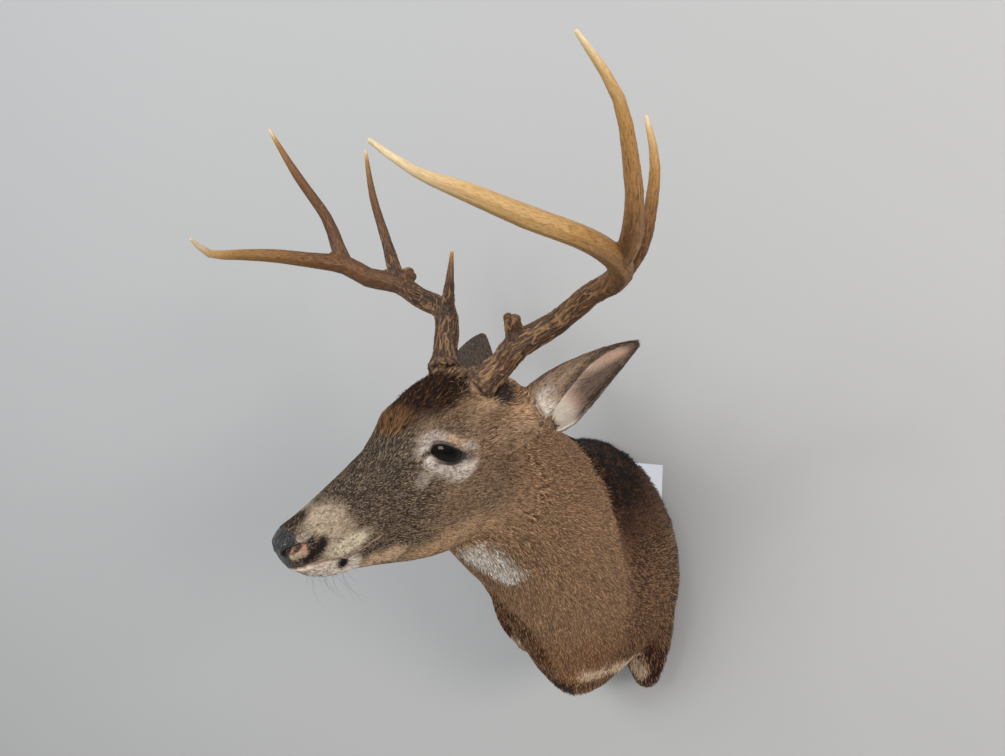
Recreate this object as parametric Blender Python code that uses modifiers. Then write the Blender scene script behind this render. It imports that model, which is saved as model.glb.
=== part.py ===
"""Whitetail buck shoulder mount: the hide over its form, glass eyes, ears, antlers and
the wooden back board that hangs flat on the wall.

Frame: metres, +X to the deer's left, +Y into the wall, +Z up.  The origin is the middle
of the back board's rear face, which is the face that lies on the wall.
The head has a frame of its own: +X forward to the nose, +Y to the deer's left, +Z up,
with its origin midway between the eyes.  Tables of lengths are in millimetres.
"""
from math import cos, pi, radians, sin

import bmesh
import bpy
from mathutils import Euler, Matrix, Vector

MM = 0.001
GAP = 0.0003                        # left between pieces that touch
WELD = 0.00002                      # points nearer than this are one
SHARP_ANGLE = radians(45)

# ---- pose of the head
HEAD_CENTRE = Vector((-91, -516, 329)) * MM
HEAD_TURN = radians(33.3)           # to the deer's right
HEAD_NOD = radians(19.7)            # nose down
HEAD_FRAME = Matrix.LocRotScale(HEAD_CENTRE, Euler((0, HEAD_NOD, -(pi / 2 + HEAD_TURN))), None)

# ---- flesh: how fine the blended body is
RING_SIDES = 28
VOXEL = 0.0042
BLEND_PASSES = 7
BODY_TRIANGLES = 2950
HEAD_DETAIL = 0.00010               # how much more the thinning spares the head
HEAD_REACH = ((-0.16, -0.08), (-0.20, -0.15))       # where it starts and is full: along, up

# ---- head sections: forward, crown, underside, half width, height of the widest place,
#      fullness above it and below it (2 is an ellipse, more is squarer)
HEAD_SECTIONS = (
    (193.0, -15, -35, 13, -25, 2.0, 2.0),
    (190.0, -8, -42, 20, -25, 2.2, 2.2),
    (184.0, -3, -51, 24, -26, 2.3, 2.3),
    (176.0, 0, -62, 26.5, -26, 2.2, 2.2),
    (164.0, 2, -72, 27.5, -28, 2.2, 2.4),
    (148.0, 5, -80, 27.5, -30, 2.1, 2.4),
    (130.0, 10, -85, 28, -32, 2.1, 2.3),
    (108.0, 16, -96, 30.5, -34, 2.1, 2.2),
    (85.0, 22, -109, 35, -36, 2.1, 2.1),
    (62.0, 28, -121, 42, -34, 2.2, 2.0),
    (42.0, 39, -130, 49, -28, 2.3, 1.9),
    (22.0, 52, -137, 54, -18, 2.4, 1.8),
    (2.0, 57, -141, 57, -10, 2.5, 1.8),
    (-20.0, 60, -141, 58, -8, 2.4, 1.8),
    (-45.0, 62, -136, 58, -5, 2.3, 1.9),
    (-70.0, 61, -122, 55, 0, 2.2, 2.0),
    (-95.0, 53, -95, 49, 5, 2.0, 2.0),
    (-115.0, 38, -60, 36, 5, 2.0, 2.0),
    (-126.0, 20, -25, 16, 0, 2.0, 2.0),
)

# ---- trunk and neck sections from behind the wall line to the back of the head, in the
#      mount's frame: crown point, underside point, half width, height of the widest place
#      as a share of the way up, fullness above and below it
BODY_SECTIONS = (
    ((2, 25, 217), (2, 25, -136), 156, 0.37, 1.9, 2.3),
    ((2, 0, 222), (3, 0, -142), 160, 0.37, 1.9, 2.3),
    ((2, -50, 230), (8, -60, -150), 165, 0.37, 1.9, 2.3),
    ((4, -110, 243), (12, -120, -166), 150, 0.41, 2.0, 1.9),
    ((5, -175, 264), (18, -168, -174), 123, 0.45, 2.0, 1.7),
    ((3, -225, 283), (6, -222, -130), 103, 0.50, 2.0, 1.9),
    ((-4, -275, 305), (-14, -262, -75), 93, 0.52, 2.0, 2.0),
    ((-14, -330, 332), (-44, -308, 4), 86, 0.54, 2.0, 2.0),
    ((-24, -385, 355), (-70, -350, 78), 82, 0.55, 2.0, 2.0),
    ((-36, -436, 372), (-82, -402, 132), 70, 0.55, 2.0, 2.0),
    ((-54, -484, 366), (-84, -474, 194), 44, 0.55, 2.0, 2.0),
)

# ---- leg stubs: spine points and radii, in the mount's frame
LEG_STUBS = {
    "left": (((98, -66, 30), 64), ((112, -64, -50), 56), ((117, -58, -110), 46),
             ((119, -52, -156), 35), ((121, -50, -182), 25)),
    "right": (((-98, -66, 30), 64), ((-112, -66, -40), 56), ((-110, -62, -95), 46),
              ((-101, -58, -128), 36), ((-96, -56, -150), 25)),
}

LIMB_STEP = 0.012
ROUND_END_STEPS = (30, 60, 82)      # degrees round a limb's rounded end

# ---- eyes, in the head's frame, for the left side
EYE_RADIUS = 17.0
EYE_PLACE = Vector((2, 42, 2))
EYE_TILT = radians(22)              # the front corner is the higher one
EYE_LENGTH = 34.0                   # opening between the lids
EYE_HEIGHT = 20.0
LID_THICKNESS = 2.4
BROW_RIDGE = (Vector((-2, 46, 19)), Vector((27, 12, 8)))   # middle and half sizes
NOSTRIL = (Vector((182, 20, -19)), Vector((9, 5.5, 4.5)))

# ---- ears, in the head's frame, for the left side
EAR_BASES = {"left": Vector((-108, 57, -8)),           # as if both were left ears
             "right": Vector((-108, 61, -15))}
EAR_AXES = {"left": Vector((-0.79, 0.56, 0.26)).normalized(),
            "right": Vector((-0.72, 0.64, 0.22)).normalized()}
EAR_OPENINGS = {"left": Vector((0.34, 0.75, -0.57)), "right": Vector((0.10, 0.66, -0.74))}
EAR_TWIST = radians(20)             # the opening turns forward from the middle to the tip
EAR_LENGTH = 156.0
EAR_THICKNESS = 4.5
EAR_ROOT_SHARE = 0.13               # of the length, left on the head as a stump
EAR_REACH = 0.08                    # round the axis, clear of the whole ear
EAR_STUMP_REACH = 0.039             # round the axis, clear of the stump alone
EAR_SHAPE = (                       # share of length, half width, half arc in degrees
    (-0.05, 22, 165), (0.07, 27, 155), (0.18, 33, 135), (0.30, 36, 118), (0.45, 35, 102),
    (0.60, 30, 90), (0.74, 22.5, 80), (0.86, 14.5, 72), (0.95, 7.5, 66), (1.00, 3.4, 62),
)
EAR_COLUMNS = 9
EAR_ROOT = ((-46, 36), (-12, 33), (14, 31), (40, 25))       # along the ear from its base, radius
SCALP = (Vector((-86, 40, 18)), Vector((38, 27, 30)))       # flesh between burr and ear

# ---- antlers, in the head's frame: spine points with radii.  "fork" names where a tine
#      leaves, and the beam is parted just past it.
TUBE_RESOLUTION = 2
ANTLER_STEP = 0.017
FORK_CLEARANCE = 0.003              # the beam is parted this far past a tine's place
BURR_PROFILE = ((0, 0.90), (3, 1.30), (8, 1.28), (14, 1.12), (20, 1.02))   # along, share of radius
BEAMS = {
    "left": (
        ("burr", (-69, 40, 47), 17), ("", (-97, 58, 63), 15), ("brow", (-113, 73, 80), 16),
        ("", (-143, 112, 98), 13.6), ("", (-156, 162, 128), 12.4), ("g2", (-157, 190, 139), 12.8),
        ("", (-150, 213, 153), 12.8), ("g3", (-135, 227, 169), 12.4), ("", (-106, 241, 191), 11.3),
        ("", (-60, 263, 217), 10), ("", (-18, 257, 246), 9.5), ("", (25, 251, 278), 7.5),
        ("", (59, 245, 303), 4), ("tip", (80, 235, 331), 2),
    ),
    "right": (
        ("burr", (-77, -37, 49), 16.5), ("", (-102, -56, 73), 15.4),
        ("brow", (-126, -74, 96), 15.7), ("", (-142, -108, 106), 14.2),
        ("", (-148, -160, 114), 14.2), ("g2", (-153, -215, 132), 15),
        ("", (-126, -245, 151), 14.4), ("g3", (-105, -258, 177), 14),
        ("", (-56, -262, 202), 10.8), ("", (-12, -258, 223), 9.4), ("", (30, -253, 239), 7.4),
        ("", (67, -246, 253), 5.3), ("tip", (86, -229, 278), 2),
    ),
}
TINES = {                           # radius at the fork, then points and radii to the tip
    ("left", "brow"): (12, (((-115, 72, 99), 10.5), ((-114, 75, 113), 9))),
    ("left", "g2"): (12, (((-172, 210, 157), 9), ((-173, 232, 183), 7.7),
                          ((-183, 249, 240), 5.2), ((-185, 248, 285), 2))),
    ("left", "g3"): (12, (((-131, 249, 187), 10.4), ((-115, 277, 223), 8.4),
                          ((-114, 283, 251), 7.7), ((-105, 292, 308), 5.4),
                          ((-81, 286, 362), 2))),
    ("right", "brow"): (11, (((-136, -69, 127), 7.4), ((-149, -67, 156), 4.4),
                             ((-158, -65, 178), 2))),
    ("right", "g2"): (12, (((-167, -235, 191), 7.5), ((-177, -249, 254), 5.6),
                           ((-190, -251, 316), 2))),
    ("right", "g3"): (12.5, (((-109, -269, 206), 10.2), ((-110, -274, 245), 8),
                             ((-96, -287, 309), 6.4), ((-82, -290, 375), 2))),
}

# ---- back board and hanger
BOARD_THICKNESS = 0.018
BOARD_SHARE = 0.88                  # of the trunk's outline at the wall
BOARD_SIDES = 32
HANGER_SIZE = Vector((0.076, 0.0025, 0.032))
HANGER_HEIGHT = 0.085               # of the plate's middle above the origin
KEYHOLE_RADIUS = 0.0055
KEYHOLE_SLOT = (0.0050, 0.012)      # width and reach above the hole
SCREW_ROOM = Vector((0.016, 0.024, 0.024))          # twice as deep as the room in the board
WALL_SIZE = Vector((1.2, 1.2, 1.2))
HIDE_OFF_WALL = 0.001

# ---- where the hide's flesh is parted, as strips seen from one side, millimetres
CUT_REACH = 260                     # half the width of a strip
HEAD_CUTS = {                       # forward and up, in the head's frame
    "mouth": ((215, -41), (188, -46), (165, -54), (144, -58), (98, -58), (48, -92), (30, -190)),
    "nose": ((166, 25), (175, -4), (181, -22), (181, -40), (205, -56)),
    "neck": ((21, -260), (-14, -152), (-200, 30), (-270, 98)),
}
TRUNK_CUTS = {                      # Y and Z, in the mount's frame
    "shoulder": ((-110, 380), (-138, 262), (-265, -76), (-300, -170)),
    "brisket": ((-330, -80), (-200, -96), (-104, -100), (-104, -300)),
}
STUB_CUTS = {"left": ((62, -320), (62, -112), (260, -106)),              # X and Z
             "right": ((-62, -320), (-62, -112), (-260, -106))}
STUB_CUT_FRONT = -104               # where the brisket begins

# ---- one point inside each piece of flesh, by which the pieces are named
FLESH_LANDMARKS = {
    "nose_pad": HEAD_FRAME @ (Vector((187, 0, -25)) * MM),
    "lower_jaw": HEAD_FRAME @ (Vector((90, 0, -85)) * MM),
    "head": HEAD_FRAME @ (Vector((20, 0, -20)) * MM),
    "neck": Vector((-35, -310, 150)) * MM,
    "shoulders": Vector((10, -110, 60)) * MM,
    "brisket": Vector((15, -170, -120)) * MM,
    "leg_stub_left": Vector((110, -70, -140)) * MM,
    "leg_stub_right": Vector((-105, -70, -130)) * MM,
}

COLOURS = {                         # base colour, roughness, metallic
    "hide": ((0.16, 0.10, 0.065), 0.9, 0.0),
    "face": ((0.12, 0.085, 0.06), 0.9, 0.0),
    "nose": ((0.02, 0.018, 0.018), 0.45, 0.0),
    "ear": ((0.19, 0.14, 0.10), 0.9, 0.0),
    "eye": ((0.015, 0.009, 0.006), 0.05, 0.0),
    "antler": ((0.22, 0.12, 0.055), 0.55, 0.0),
    "antler_tip": ((0.55, 0.42, 0.26), 0.4, 0.0),
    "board": ((0.42, 0.29, 0.17), 0.75, 0.0),
    "hanger": ((0.5, 0.5, 0.5), 0.35, 1.0),
}


def clear_scene():
    for old in list(bpy.data.objects):
        bpy.data.objects.remove(old, do_unlink=True)


def collection(name):
    made = bpy.data.collections.new(name)
    bpy.context.scene.collection.children.link(made)
    return made


def material(name):
    colour, roughness, metallic = COLOURS[name]
    made = bpy.data.materials.new(name)
    made.use_nodes = True
    shader = made.node_tree.nodes["Principled BSDF"]
    shader.inputs["Base Color"].default_value = (*colour, 1)
    shader.inputs["Roughness"].default_value = roughness
    shader.inputs["Metallic"].default_value = metallic
    made.diffuse_color = (*colour, 1)
    return made


def object_from(bm, name, group, parent=None):
    """Make an object of a bmesh, with its faces turned outwards."""
    bmesh.ops.recalc_face_normals(bm, faces=bm.faces)
    mesh = bpy.data.meshes.new(name)
    bm.to_mesh(mesh)
    bm.free()
    made = bpy.data.objects.new(name, mesh)
    made.parent = parent
    group.objects.link(made)
    return made


def as_guide(item):
    """A form or cutter that is not itself a part."""
    item.hide_render = True
    item.display_type = "WIRE"
    return item


def shade_round(item):
    """Smooth shading with edges kept where the surface turns sharply."""
    item.data.shade_smooth()
    item.data.set_sharp_from_angle(angle=SHARP_ANGLE)


def finish_piece(item, look):
    item.data.materials.clear()
    item.data.materials.append(look)
    shade_round(item)


def evaluated_mesh(item):
    """The item's mesh with its modifiers, in world space."""
    graph = bpy.context.evaluated_depsgraph_get()
    graph.update()
    mesh = bpy.data.meshes.new_from_object(item.evaluated_get(graph), depsgraph=graph)
    mesh.transform(item.matrix_world)
    return mesh


def boolean(item, cutter, operation="DIFFERENCE"):
    """Cut or join at once, and leave the item's mesh in world space."""
    step = item.modifiers.new(operation.lower(), "BOOLEAN")
    step.operation = operation
    step.solver = "EXACT"
    step.object = cutter
    bpy.context.view_layer.update()
    mesh = evaluated_mesh(item)
    item.modifiers.clear()
    item.parent = None
    item.matrix_world = Matrix.Identity(4)
    item.data = mesh
    return item


# ---------------------------------------------------------------- forms

def signed_power(value, power):
    return (abs(value) ** power) * (1 if value >= 0 else -1)


def egg_outline(half_width, top, bottom, widest, top_fullness, bottom_fullness):
    """Points (across, up) of a rounded outline with its widest place at a given height."""
    outline = []
    for side in range(RING_SIDES):
        angle = 2 * pi * side / RING_SIDES
        fullness = top_fullness if sin(angle) >= 0 else bottom_fullness
        reach = top - widest if sin(angle) >= 0 else widest - bottom
        across = half_width * signed_power(cos(angle), 2 / fullness)
        up = widest + reach * signed_power(sin(angle), 2 / fullness)
        outline.append((across, up))
    return outline


def loft(name, rings, group, parent=None):
    """A closed form through rings of equally many points."""
    bm = bmesh.new()
    loops = [[bm.verts.new(point) for point in ring] for ring in rings]
    for one, two in zip(loops, loops[1:]):
        for i in range(len(one)):
            j = (i + 1) % len(one)
            bm.faces.new((one[i], one[j], two[j], two[i]))
    bm.faces.new(loops[0])
    bm.faces.new(loops[-1])
    return object_from(bm, name, group, parent)


def head_form(group, frame):
    rings = []
    for forward, top, bottom, half_width, widest, upper, lower in HEAD_SECTIONS:
        outline = egg_outline(half_width, top, bottom, widest, upper, lower)
        rings.append([Vector((forward, across, up)) * MM for across, up in outline])
    return loft("head_form", rings, group, frame)


def body_form(group):
    """Neck and trunk: each ring lies in the plane of its crown and underside points, and
    faces along the line of the spine."""
    rings = []
    middles = [(Vector(crown) + Vector(under)) / 2 for crown, under, *_ in BODY_SECTIONS]
    for i, (crown, under, half_width, widest, upper, lower) in enumerate(BODY_SECTIONS):
        crown, under = Vector(crown), Vector(under)
        along = middles[min(i + 1, len(middles) - 1)] - middles[max(i - 1, 0)]
        up = (crown - under).normalized()
        across = along.cross(up).normalized()
        height = (crown - under).length
        outline = egg_outline(half_width, height, 0, widest * height, upper, lower)
        rings.append([(under + across * a + up * u) * MM for a, u in outline])
    return loft("body_form", rings, group)


def ellipsoid(name, middle, half_sizes, group, parent=None, segments=24):
    bm = bmesh.new()
    bmesh.ops.create_uvsphere(bm, u_segments=segments, v_segments=segments // 2, radius=MM)
    bmesh.ops.scale(bm, vec=half_sizes, verts=bm.verts)
    bmesh.ops.translate(bm, vec=middle * MM, verts=bm.verts)
    return object_from(bm, name, group, parent)


def mirrored(vector, side):
    """A left-side measure as it is on the given side."""
    return Vector((vector.x, vector.y if side == "left" else -vector.y, vector.z))


def smooth_path(points, step):
    """Points at even steps along a Catmull-Rom curve through (position, radius) pairs."""
    samples = []
    last = len(points) - 1
    for i in range(last):
        before, start, end, after = (points[max(i - 1, 0)], points[i], points[i + 1],
                                     points[min(i + 2, last)])
        count = max(1, round((end[0] - start[0]).length / step))
        for k in range(count):
            t = k / count
            weights = (-t + 2 * t * t - t ** 3, 2 - 5 * t * t + 3 * t ** 3,
                       t + 4 * t * t - 3 * t ** 3, t ** 3 - t * t)
            place = sum((w * p[0] for w, p in zip(weights, (before, start, end, after))),
                        Vector((0, 0, 0))) / 2
            samples.append((place, start[1] + (end[1] - start[1]) * t))
    samples.append(points[-1])
    return samples


def tube(name, path, group, parent=None, grow=0.0):
    """A tapered tube with welded caps along (position, radius) pairs in metres."""
    curve = bpy.data.curves.new(name, "CURVE")
    curve.dimensions = "3D"
    curve.bevel_depth = 1.0
    curve.bevel_resolution = TUBE_RESOLUTION
    curve.use_fill_caps = True
    spline = curve.splines.new("POLY")
    spline.points.add(len(path) - 1)
    for point, (place, radius) in zip(spline.points, path):
        point.co = (*place, 1)
        point.radius = radius + grow
    drawn = bpy.data.objects.new(name, curve)
    group.objects.link(drawn)
    bpy.context.view_layer.update()
    graph = bpy.context.evaluated_depsgraph_get()
    mesh = bpy.data.meshes.new_from_object(drawn.evaluated_get(graph), depsgraph=graph)
    bpy.data.objects.remove(drawn, do_unlink=True)
    bm = bmesh.new()
    bm.from_mesh(mesh)
    bmesh.ops.remove_doubles(bm, verts=bm.verts, dist=WELD)
    return object_from(bm, name, group, parent)


def in_metres(points):
    return [(Vector(place) * MM, radius * MM) for place, radius in points]


def rounded_ends(path):
    """Close a limb with shrinking rings past its last point, as a round end."""
    place, radius = path[-1]
    heading = (place - path[-2][0]).normalized()
    cap = [(place + heading * radius * sin(a), radius * cos(a))
           for a in (radians(step) for step in ROUND_END_STEPS)]
    return path + cap


def strip_cutter(name, corners, plane, low, high, group, parent=None):
    """A thin bent sheet: a line of corners drawn on one plane and drawn out across it."""
    places = {"XZ": lambda a, b, c: (a, c, b), "YZ": lambda a, b, c: (c, a, b)}[plane]
    bm = bmesh.new()
    edges = [[bm.verts.new(Vector(places(a, b, c)) * MM) for a, b in corners]
             for c in (low, high)]
    for i in range(len(corners) - 1):
        bm.faces.new((edges[0][i], edges[0][i + 1], edges[1][i + 1], edges[1][i]))
    made = object_from(bm, name, group, parent)
    thicken = made.modifiers.new("thickness", "SOLIDIFY")
    thicken.thickness = GAP
    thicken.offset = 0
    thicken.use_even_offset = True
    return as_guide(made)


# ---------------------------------------------------------------- flesh

def blended_flesh(forms, cutters):
    """One closed body of all the forms, blended where they meet and thinned to facets
    that are finest on the head."""
    bm = bmesh.new()
    for form in forms:
        bm.from_mesh(evaluated_mesh(form))
    flesh = object_from(bm, "flesh", cutters)
    shell = flesh.modifiers.new("one_shell", "REMESH")
    shell.mode = "VOXEL"
    shell.voxel_size = VOXEL
    blend = flesh.modifiers.new("blend", "SMOOTH")
    blend.factor = 0.5
    blend.iterations = BLEND_PASSES
    bpy.context.view_layer.update()
    flesh.data = evaluated_mesh(flesh)
    flesh.modifiers.clear()

    thinning = flesh.vertex_groups.new(name="thinning")
    for vertex in flesh.data.vertices:
        thinning.add([vertex.index], thinning_at(vertex.co), "REPLACE")
    facets = flesh.modifiers.new("facets", "DECIMATE")
    facets.ratio = BODY_TRIANGLES / (2 * len(flesh.data.polygons))
    facets.vertex_group = thinning.name
    facets.vertex_group_factor = HEAD_DETAIL
    facets.use_collapse_triangulate = True
    bpy.context.view_layer.update()
    flesh.data = evaluated_mesh(flesh)
    flesh.modifiers.clear()
    return flesh


def thinning_at(place):
    """1 on the trunk and little on the head, whose small forms need more facets."""
    local = HEAD_FRAME.inverted() @ place
    (back, ahead), (below, above) = HEAD_REACH
    forward = min(max((local.x - back) / (ahead - back), 0), 1)
    upward = min(max((local.z - below) / (above - below), 0), 1)
    return 1 - 0.9 * forward * upward


def almond_cutter(side, group, frame):
    """The opening between the lids: two arcs that meet at the corners."""
    arcs = 9
    behind, before = -13, 10        # how far the block reaches about the ball's surface
    half, rise = EYE_LENGTH / 2, EYE_HEIGHT / 2
    upper = [(half * cos(pi * i / arcs), rise * sin(pi * i / arcs) ** 1.25)
             for i in range(arcs)]
    outline = upper + [(-a, -b) for a, b in upper]
    rings = []
    for depth in (behind, before):
        ring = []
        for along, up in outline:
            turned = (along * cos(EYE_TILT) - up * sin(EYE_TILT),
                      along * sin(EYE_TILT) + up * cos(EYE_TILT))
            place = EYE_PLACE + Vector((turned[0], EYE_RADIUS + depth, turned[1]))
            ring.append(mirrored(place, side) * MM)
        rings.append(ring)
    return as_guide(loft(f"almond_{side}", rings, group, frame))


def part_flesh(flesh, parts, cutters, frame):
    """Part the flesh with thin cuts and name each piece by its landmark."""
    strips = [strip_cutter(f"{name}_cut", corners, "XZ", -CUT_REACH, CUT_REACH, cutters, frame)
              for name, corners in HEAD_CUTS.items()]
    strips += [strip_cutter(f"{name}_cut", corners, "YZ", -CUT_REACH, CUT_REACH, cutters)
               for name, corners in TRUNK_CUTS.items()]
    strips += [strip_cutter(f"stub_cut_{side}", corners, "XZ", STUB_CUT_FRONT, CUT_REACH, cutters)
               for side, corners in STUB_CUTS.items()]
    for strip in strips:
        boolean(flesh, strip)

    pieces = {}
    for index, mesh in enumerate(loose_meshes(flesh.data)):
        middle = sum((v.co for v in mesh.vertices), Vector()) / len(mesh.vertices)
        name = min(FLESH_LANDMARKS, key=lambda n: (FLESH_LANDMARKS[n] - middle).length)
        if name in pieces:
            raise ValueError(f"two pieces of flesh are nearest to {name}")
        mesh.name = name
        pieces[name] = bpy.data.objects.new(name, mesh)
        parts.objects.link(pieces[name])
    bpy.data.objects.remove(flesh, do_unlink=True)
    return pieces


def loose_meshes(mesh):
    """Each connected shell of a mesh as a mesh of its own, largest first."""
    bm = bmesh.new()
    bm.from_mesh(mesh)
    unseen = set(bm.verts)
    shells = []
    while unseen:
        reached = {unseen.pop()}
        edge_of_search = list(reached)
        while edge_of_search:
            vertex = edge_of_search.pop()
            for edge in vertex.link_edges:
                other = edge.other_vert(vertex)
                if other not in reached:
                    reached.add(other)
                    edge_of_search.append(other)
        unseen -= reached
        shells.append(reached)
    shells.sort(key=len, reverse=True)
    meshes = []
    for shell in shells:
        piece = bmesh.new()
        copies = {vertex: piece.verts.new(vertex.co) for vertex in shell}
        for face in bm.faces:
            if face.verts[0] in shell:
                piece.faces.new([copies[v] for v in face.verts])
        bmesh.ops.triangulate(piece, faces=piece.faces)
        made = bpy.data.meshes.new("shell")
        piece.to_mesh(made)
        piece.free()
        meshes.append(made)
    bm.free()
    return meshes


# ---------------------------------------------------------------- ears

def ear_sheet(name, side, group, frame):
    """The ear's cup as an open sheet: arcs round its axis that open towards the tip."""
    axis = mirrored(EAR_AXES[side], side)
    level = mirrored(EAR_OPENINGS[side], side)
    level = (level - axis * level.dot(axis)).normalized()
    forward = axis.cross(level) * (-1 if side == "left" else 1)
    bm = bmesh.new()
    rows = []
    for share, half_width, half_arc in EAR_SHAPE:
        radius = half_width / sin(min(radians(half_arc), pi / 2))
        twist = EAR_TWIST * max(0.0, 2 * share - 1)
        opening = level * cos(twist) + forward * sin(twist)
        across = axis.cross(opening)
        middle = mirrored(EAR_BASES[side], side) + axis * EAR_LENGTH * share
        middle = middle + opening * (radius * 0.5 - 10)
        row = []
        for column in range(EAR_COLUMNS):
            turn = radians(half_arc) * (2 * column / (EAR_COLUMNS - 1) - 1)
            place = middle + radius * (across * sin(turn) - opening * cos(turn))
            row.append(bm.verts.new(place * MM))
        rows.append(row)
    for one, two in zip(rows, rows[1:]):
        for i in range(EAR_COLUMNS - 1):
            bm.faces.new((one[i], one[i + 1], two[i + 1], two[i]))
    return object_from(bm, name, group, frame)


def ear(side, parts, cutters, frame):
    made = ear_sheet(f"ear_{side}", side, parts, frame)
    wall = made.modifiers.new("wall", "SOLIDIFY")
    wall.thickness = EAR_THICKNESS * MM
    wall.offset = 0
    distance = EAR_ROOT_SHARE * EAR_LENGTH * MM + GAP / 2
    return boolean(made, ear_root_cutter(side, distance, -1, EAR_REACH, cutters, frame))


def ear_root_cutter(side, distance, outward, radius, cutters, frame):
    """A round block on one side of the plane across the ear's root."""
    depth = 0.12
    axis = mirrored(EAR_AXES[side], side)
    bm = bmesh.new()
    bmesh.ops.create_cone(bm, cap_ends=True, segments=20, radius1=radius, radius2=radius,
                          depth=depth)
    bmesh.ops.translate(bm, vec=(0, 0, outward * depth / 2), verts=bm.verts)
    turn = axis.to_track_quat("Z", "Y").to_matrix().to_4x4()
    place = mirrored(EAR_BASES[side], side) * MM + axis * distance
    bmesh.ops.transform(bm, matrix=Matrix.Translation(place) @ turn, verts=bm.verts)
    return as_guide(object_from(bm, f"ear_plane_{side}", cutters, frame))


def ear_root_form(side, group, frame):
    """The fleshy root that carries the ear."""
    axis = mirrored(EAR_AXES[side], side)
    base = mirrored(EAR_BASES[side], side)
    path = in_metres([(base + axis * along, radius) for along, radius in EAR_ROOT])
    return tube(f"ear_root_{side}", path, group, frame)


# ---------------------------------------------------------------- antlers

def beam_path(side):
    points = in_metres([(place, radius) for _, place, radius in BEAMS[side]])
    start, radius = points[0]
    heading = (points[1][0] - start).normalized()
    burr = [(start + heading * along * MM, radius * share) for along, share in BURR_PROFILE]
    return burr + smooth_path([burr[-1]] + points[1:], ANTLER_STEP)[1:]


def fork_place(side, fork):
    return next(Vector(place) * MM for name, place, _ in BEAMS[side] if name == fork)


def beam_cutter(name, side, fork, cutters, frame):
    """A thin disc across the beam, just past a fork."""
    path = beam_path(side)
    fork_at = fork_place(side, fork)
    nearest = min(range(len(path)), key=lambda i: (path[i][0] - fork_at).length)
    place, radius = path[nearest + 1]
    heading = (path[nearest + 2][0] - path[nearest][0]).normalized()
    bm = bmesh.new()
    bmesh.ops.create_cone(bm, cap_ends=True, segments=24, radius1=radius * 1.7,
                          radius2=radius * 1.7, depth=GAP)
    turn = heading.to_track_quat("Z", "Y").to_matrix().to_4x4()
    bmesh.ops.transform(bm, matrix=Matrix.Translation(place + heading * FORK_CLEARANCE) @ turn,
                        verts=bm.verts)
    return as_guide(object_from(bm, name, cutters, frame))


def antler(side, parts, cutters, frame):
    path = beam_path(side)
    grown = as_guide(tube(f"beam_seat_{side}", path, cutters, frame, grow=GAP))
    beam = tube(f"beam_{side}", path, parts, frame)
    for fork in ("brow", "g2", "g3"):
        boolean(beam, beam_cutter(f"beam_cut_{side}_{fork}", side, fork, cutters, frame))
    names = ("base", "lower_beam", "upper_beam", "beam_tip")
    lengths = loose_meshes(beam.data)
    bpy.data.objects.remove(beam, do_unlink=True)
    anchors = [frame.matrix_world @ place for place in beam_anchors(side)]
    made = {}
    for name, anchor in zip(names, anchors):
        mesh = min(lengths, key=lambda m: min((v.co - anchor).length for v in m.vertices))
        lengths.remove(mesh)
        made[name] = bpy.data.objects.new(f"antler_{side}_{name}", mesh)
        parts.objects.link(made[name])
    for (tine_side, fork), (root_radius, points) in TINES.items():
        if tine_side != side:
            continue
        root = (fork_place(side, fork), root_radius * MM)
        path = smooth_path([root] + in_metres(points), ANTLER_STEP)
        tine = tube(f"antler_{side}_{fork}_tine", path, parts, frame)
        made[fork] = boolean(tine, grown)
    return made


def beam_anchors(side):
    """A point on each length of beam: halfway between its forks."""
    burr, brow, g2, g3, tip = (fork_place(side, name)
                               for name in ("burr", "brow", "g2", "g3", "tip"))
    return [(burr + brow) / 2, (brow + g2) / 2, (g2 + g3) / 2, tip]


# ---------------------------------------------------------------- back board

def board_outline(share, grow=0.0):
    crown, under, half_width, widest, upper, lower = BODY_SECTIONS[1]
    top, bottom = crown[2], under[2]
    middle = bottom + widest * (top - bottom)
    points = []
    for side in range(BOARD_SIDES):
        angle = 2 * pi * side / BOARD_SIDES
        fullness = upper if sin(angle) >= 0 else lower
        reach = top - middle if sin(angle) >= 0 else middle - bottom
        x = crown[0] + share * half_width * signed_power(cos(angle), 2 / fullness)
        z = middle + share * reach * signed_power(sin(angle), 2 / fullness)
        points.append(Vector((x, 0, z)) * MM + Vector((cos(angle), 0, sin(angle))) * grow)
    return points


def board(name, thickness, grow, group):
    outline = board_outline(BOARD_SHARE, grow)
    rings = [[point + Vector((0, y, 0)) for point in outline] for y in (grow, -thickness)]
    return loft(name, rings, group)


def block(name, size, middle, group):
    bm = bmesh.new()
    bmesh.ops.create_cube(bm, size=1)
    bmesh.ops.scale(bm, vec=size, verts=bm.verts)
    bmesh.ops.translate(bm, vec=middle, verts=bm.verts)
    return object_from(bm, name, group)


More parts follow.
